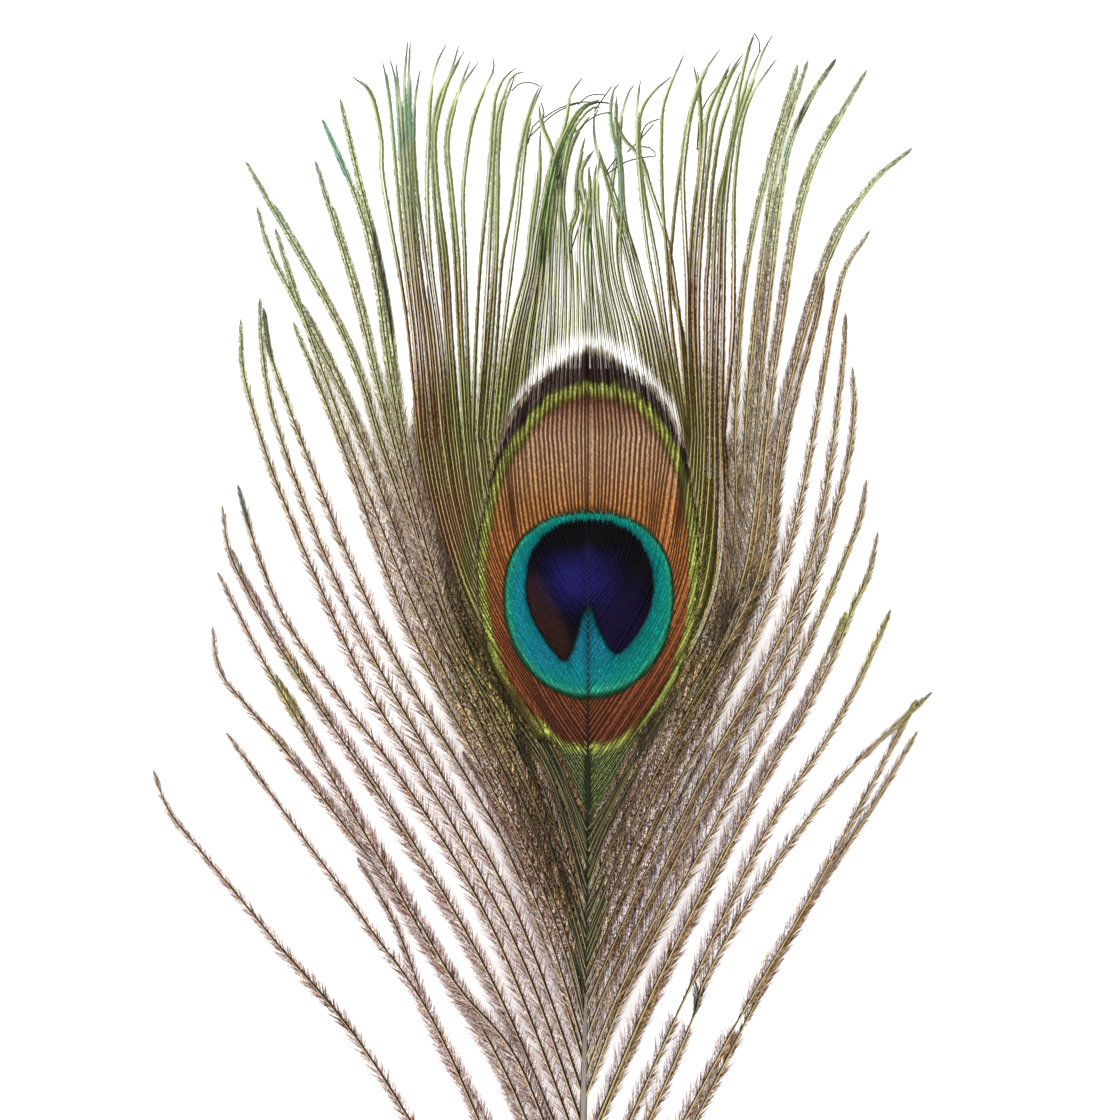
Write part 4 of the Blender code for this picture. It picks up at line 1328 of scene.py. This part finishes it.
def buildQuill():
    rows = np.linspace(*shaft["rows"])
    knot, reach = shaft["knot"]
    roots = np.array([b["line"][0, 1] for b in looseLeft + looseRight + eyeGroup])
    swell = np.exp(-(((rows[:, None] - roots) / reach) ** 2)).sum(axis=1)
    column, height, radius = np.array([shaftAt(row) for row in rows]).T
    none, full = np.zeros(len(rows)), np.ones(len(rows))
    barb = {"points": np.column_stack(inMetres(column, rows, height)), "hands": {1: (none, none)}}
    radius = radius * (1 - knot + knot * np.minimum(swell, 1))
    barb["values"] = {"stemRadius": radius, "barbSide": full, "barbTone": 0.5 * full, "inEye": full}
    return addStems("quill", [barb], shaft["sides"], 1.0, quillFinish)


ground = {
    "rows": (368, 856, 100),     # pixel rows of its two ends, and how many rows of points it has
    "columns": 44,
    "height": 0.72 * mm,
    "thickness": 0.12 * mm,
    "widest": 130,               # pixels to either side that are searched for the eye's edge, four to a pixel
    "edge": 4.7,                 # the eye's ring there
    "margin": 0.5,
}


def buildShadedEyeGround():
    # a thin ground under the eye's barbs, so that nothing shows through between them; it has the eye's colours,
    # darkened as painted shade between the barbs
    y = np.linspace(*ground["rows"])
    rows, columns = len(y), ground["columns"]
    aside = np.linspace(0, ground["widest"], 4 * ground["widest"] + 1)
    ring = eyeRing(*np.meshgrid(eye["bronze"][0] + aside, y))
    spread = np.where(ring < ground["edge"], aside, 0).max(axis=1) + ground["margin"]
    spread = np.maximum.reduce([spread, reachAt("groundFoot", y), reachAt("groundSides", y)])
    middle = np.array([shaftAt(row)[0] for row in y])
    x = middle[:, None] + spread[:, None] * np.linspace(-1, 1, columns)
    top = np.stack(np.broadcast_arrays(*inMetres(x, y[:, None], ground["height"])), axis=-1).reshape(-1, 3)
    points = np.concatenate([top, top - [0, 0, ground["thickness"]]])
    index = np.arange(rows * columns).reshape(rows, columns)
    a, b, c, d = (part.ravel() for part in (index[:-1, :-1], index[:-1, 1:], index[1:, 1:], index[1:, :-1]))
    edge = np.concatenate([index[0, :], index[1:, -1], index[-1, -2::-1], index[-2:0:-1, 0]])
    after, below = np.roll(edge, -1), rows * columns
    upper, lower = np.stack([a, d, c, b], axis=1), np.stack([a, b, c, d], axis=1) + below
    faces = np.concatenate([upper, lower, np.stack([edge, after, after + below, edge + below], axis=1)])
    mesh = bpy.data.meshes.new("shadedEyeGround")
    mesh.from_pydata(points.tolist(), [], faces.tolist())
    mesh.materials.append(shadedGroundFinish)
    writeValues(mesh, "barbTone", np.full(len(points), 0.5))
    writeValues(mesh, "inEye", np.ones(len(points)))
    return placed("shadedEyeGround", mesh)


pieces["quill"] = buildQuill()
pieces["shadedEyeGround"] = buildShadedEyeGround()
for name, piece in pieces.items():
    if name != "quill":
        markEye(piece.data)
        mapFromAbove(piece.data)
    piece.data.update()
    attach(piece, "root")
    print("feather:", name, len(piece.data.polygons), "faces")
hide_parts("peacock_feather")

view = {
    "middle": (3.08 * mm, 53.0 * mm),
    "width": 186.67 * mm,
    "height": 2 * mm,            # of the plane in which the picture is that wide
    "lens": 110,
    "sensor": 36,
}
studio = {
    "paperGlow": 0.45,
    "sky": 1.42,
    "lamp": (-0.35, 0.55, 0.75),
    "lampAim": (0.0, 0.05, 0.0),
    "lampSize": 0.7,
    "lampEnergy": 3.0,
}


def addStage():
    mesh = bpy.data.meshes.new("floor")
    mesh.from_pydata([(-2, -2, 0), (2, -2, 0), (2, 2, 0), (-2, 2, 0)], [], [(0, 1, 2, 3)])
    floor = placed("floor", mesh)
    material, tree, shader = newMaterial("paper", 0.9, 0.0)
    tree.feed(shader.inputs["Base Color"], tree.ramp(tree.noise(10.0), factors("paper")))
    shader.inputs["Emission Color"].default_value = (1, 1, 1, 1)
    shader.inputs["Emission Strength"].default_value = studio["paperGlow"]
    mesh.materials.append(material)
    world = bpy.data.worlds.new("studio")
    world.use_nodes = True
    sky = world.node_tree.nodes["Background"]
    sky.inputs["Color"].default_value = (1, 1, 1, 1)
    sky.inputs["Strength"].default_value = studio["sky"]
    bpy.context.scene.world = world
    lamp = bpy.data.lights.new("softbox", "AREA")
    lamp.size = studio["lampSize"]
    lamp.energy = studio["lampEnergy"]
    light = placed("softbox", lamp)
    light.location = studio["lamp"]
    light.rotation_euler = (Vector(studio["lampAim"]) - light.location).to_track_quat("-Z", "Y").to_euler()


def addCamera():
    lens = bpy.data.cameras.new("camera")
    lens.sensor_width = view["sensor"]
    lens.sensor_fit = "HORIZONTAL"
    lens.lens = view["lens"]
    lens.clip_start = 0.01
    camera = placed("camera", lens)
    camera.location = (*view["middle"], view["height"] + view["width"] * view["lens"] / view["sensor"])
    bpy.context.scene.camera = camera
    bpy.context.scene.view_settings.view_transform = "Standard"


addStage()
addCamera()
print("feather: done")
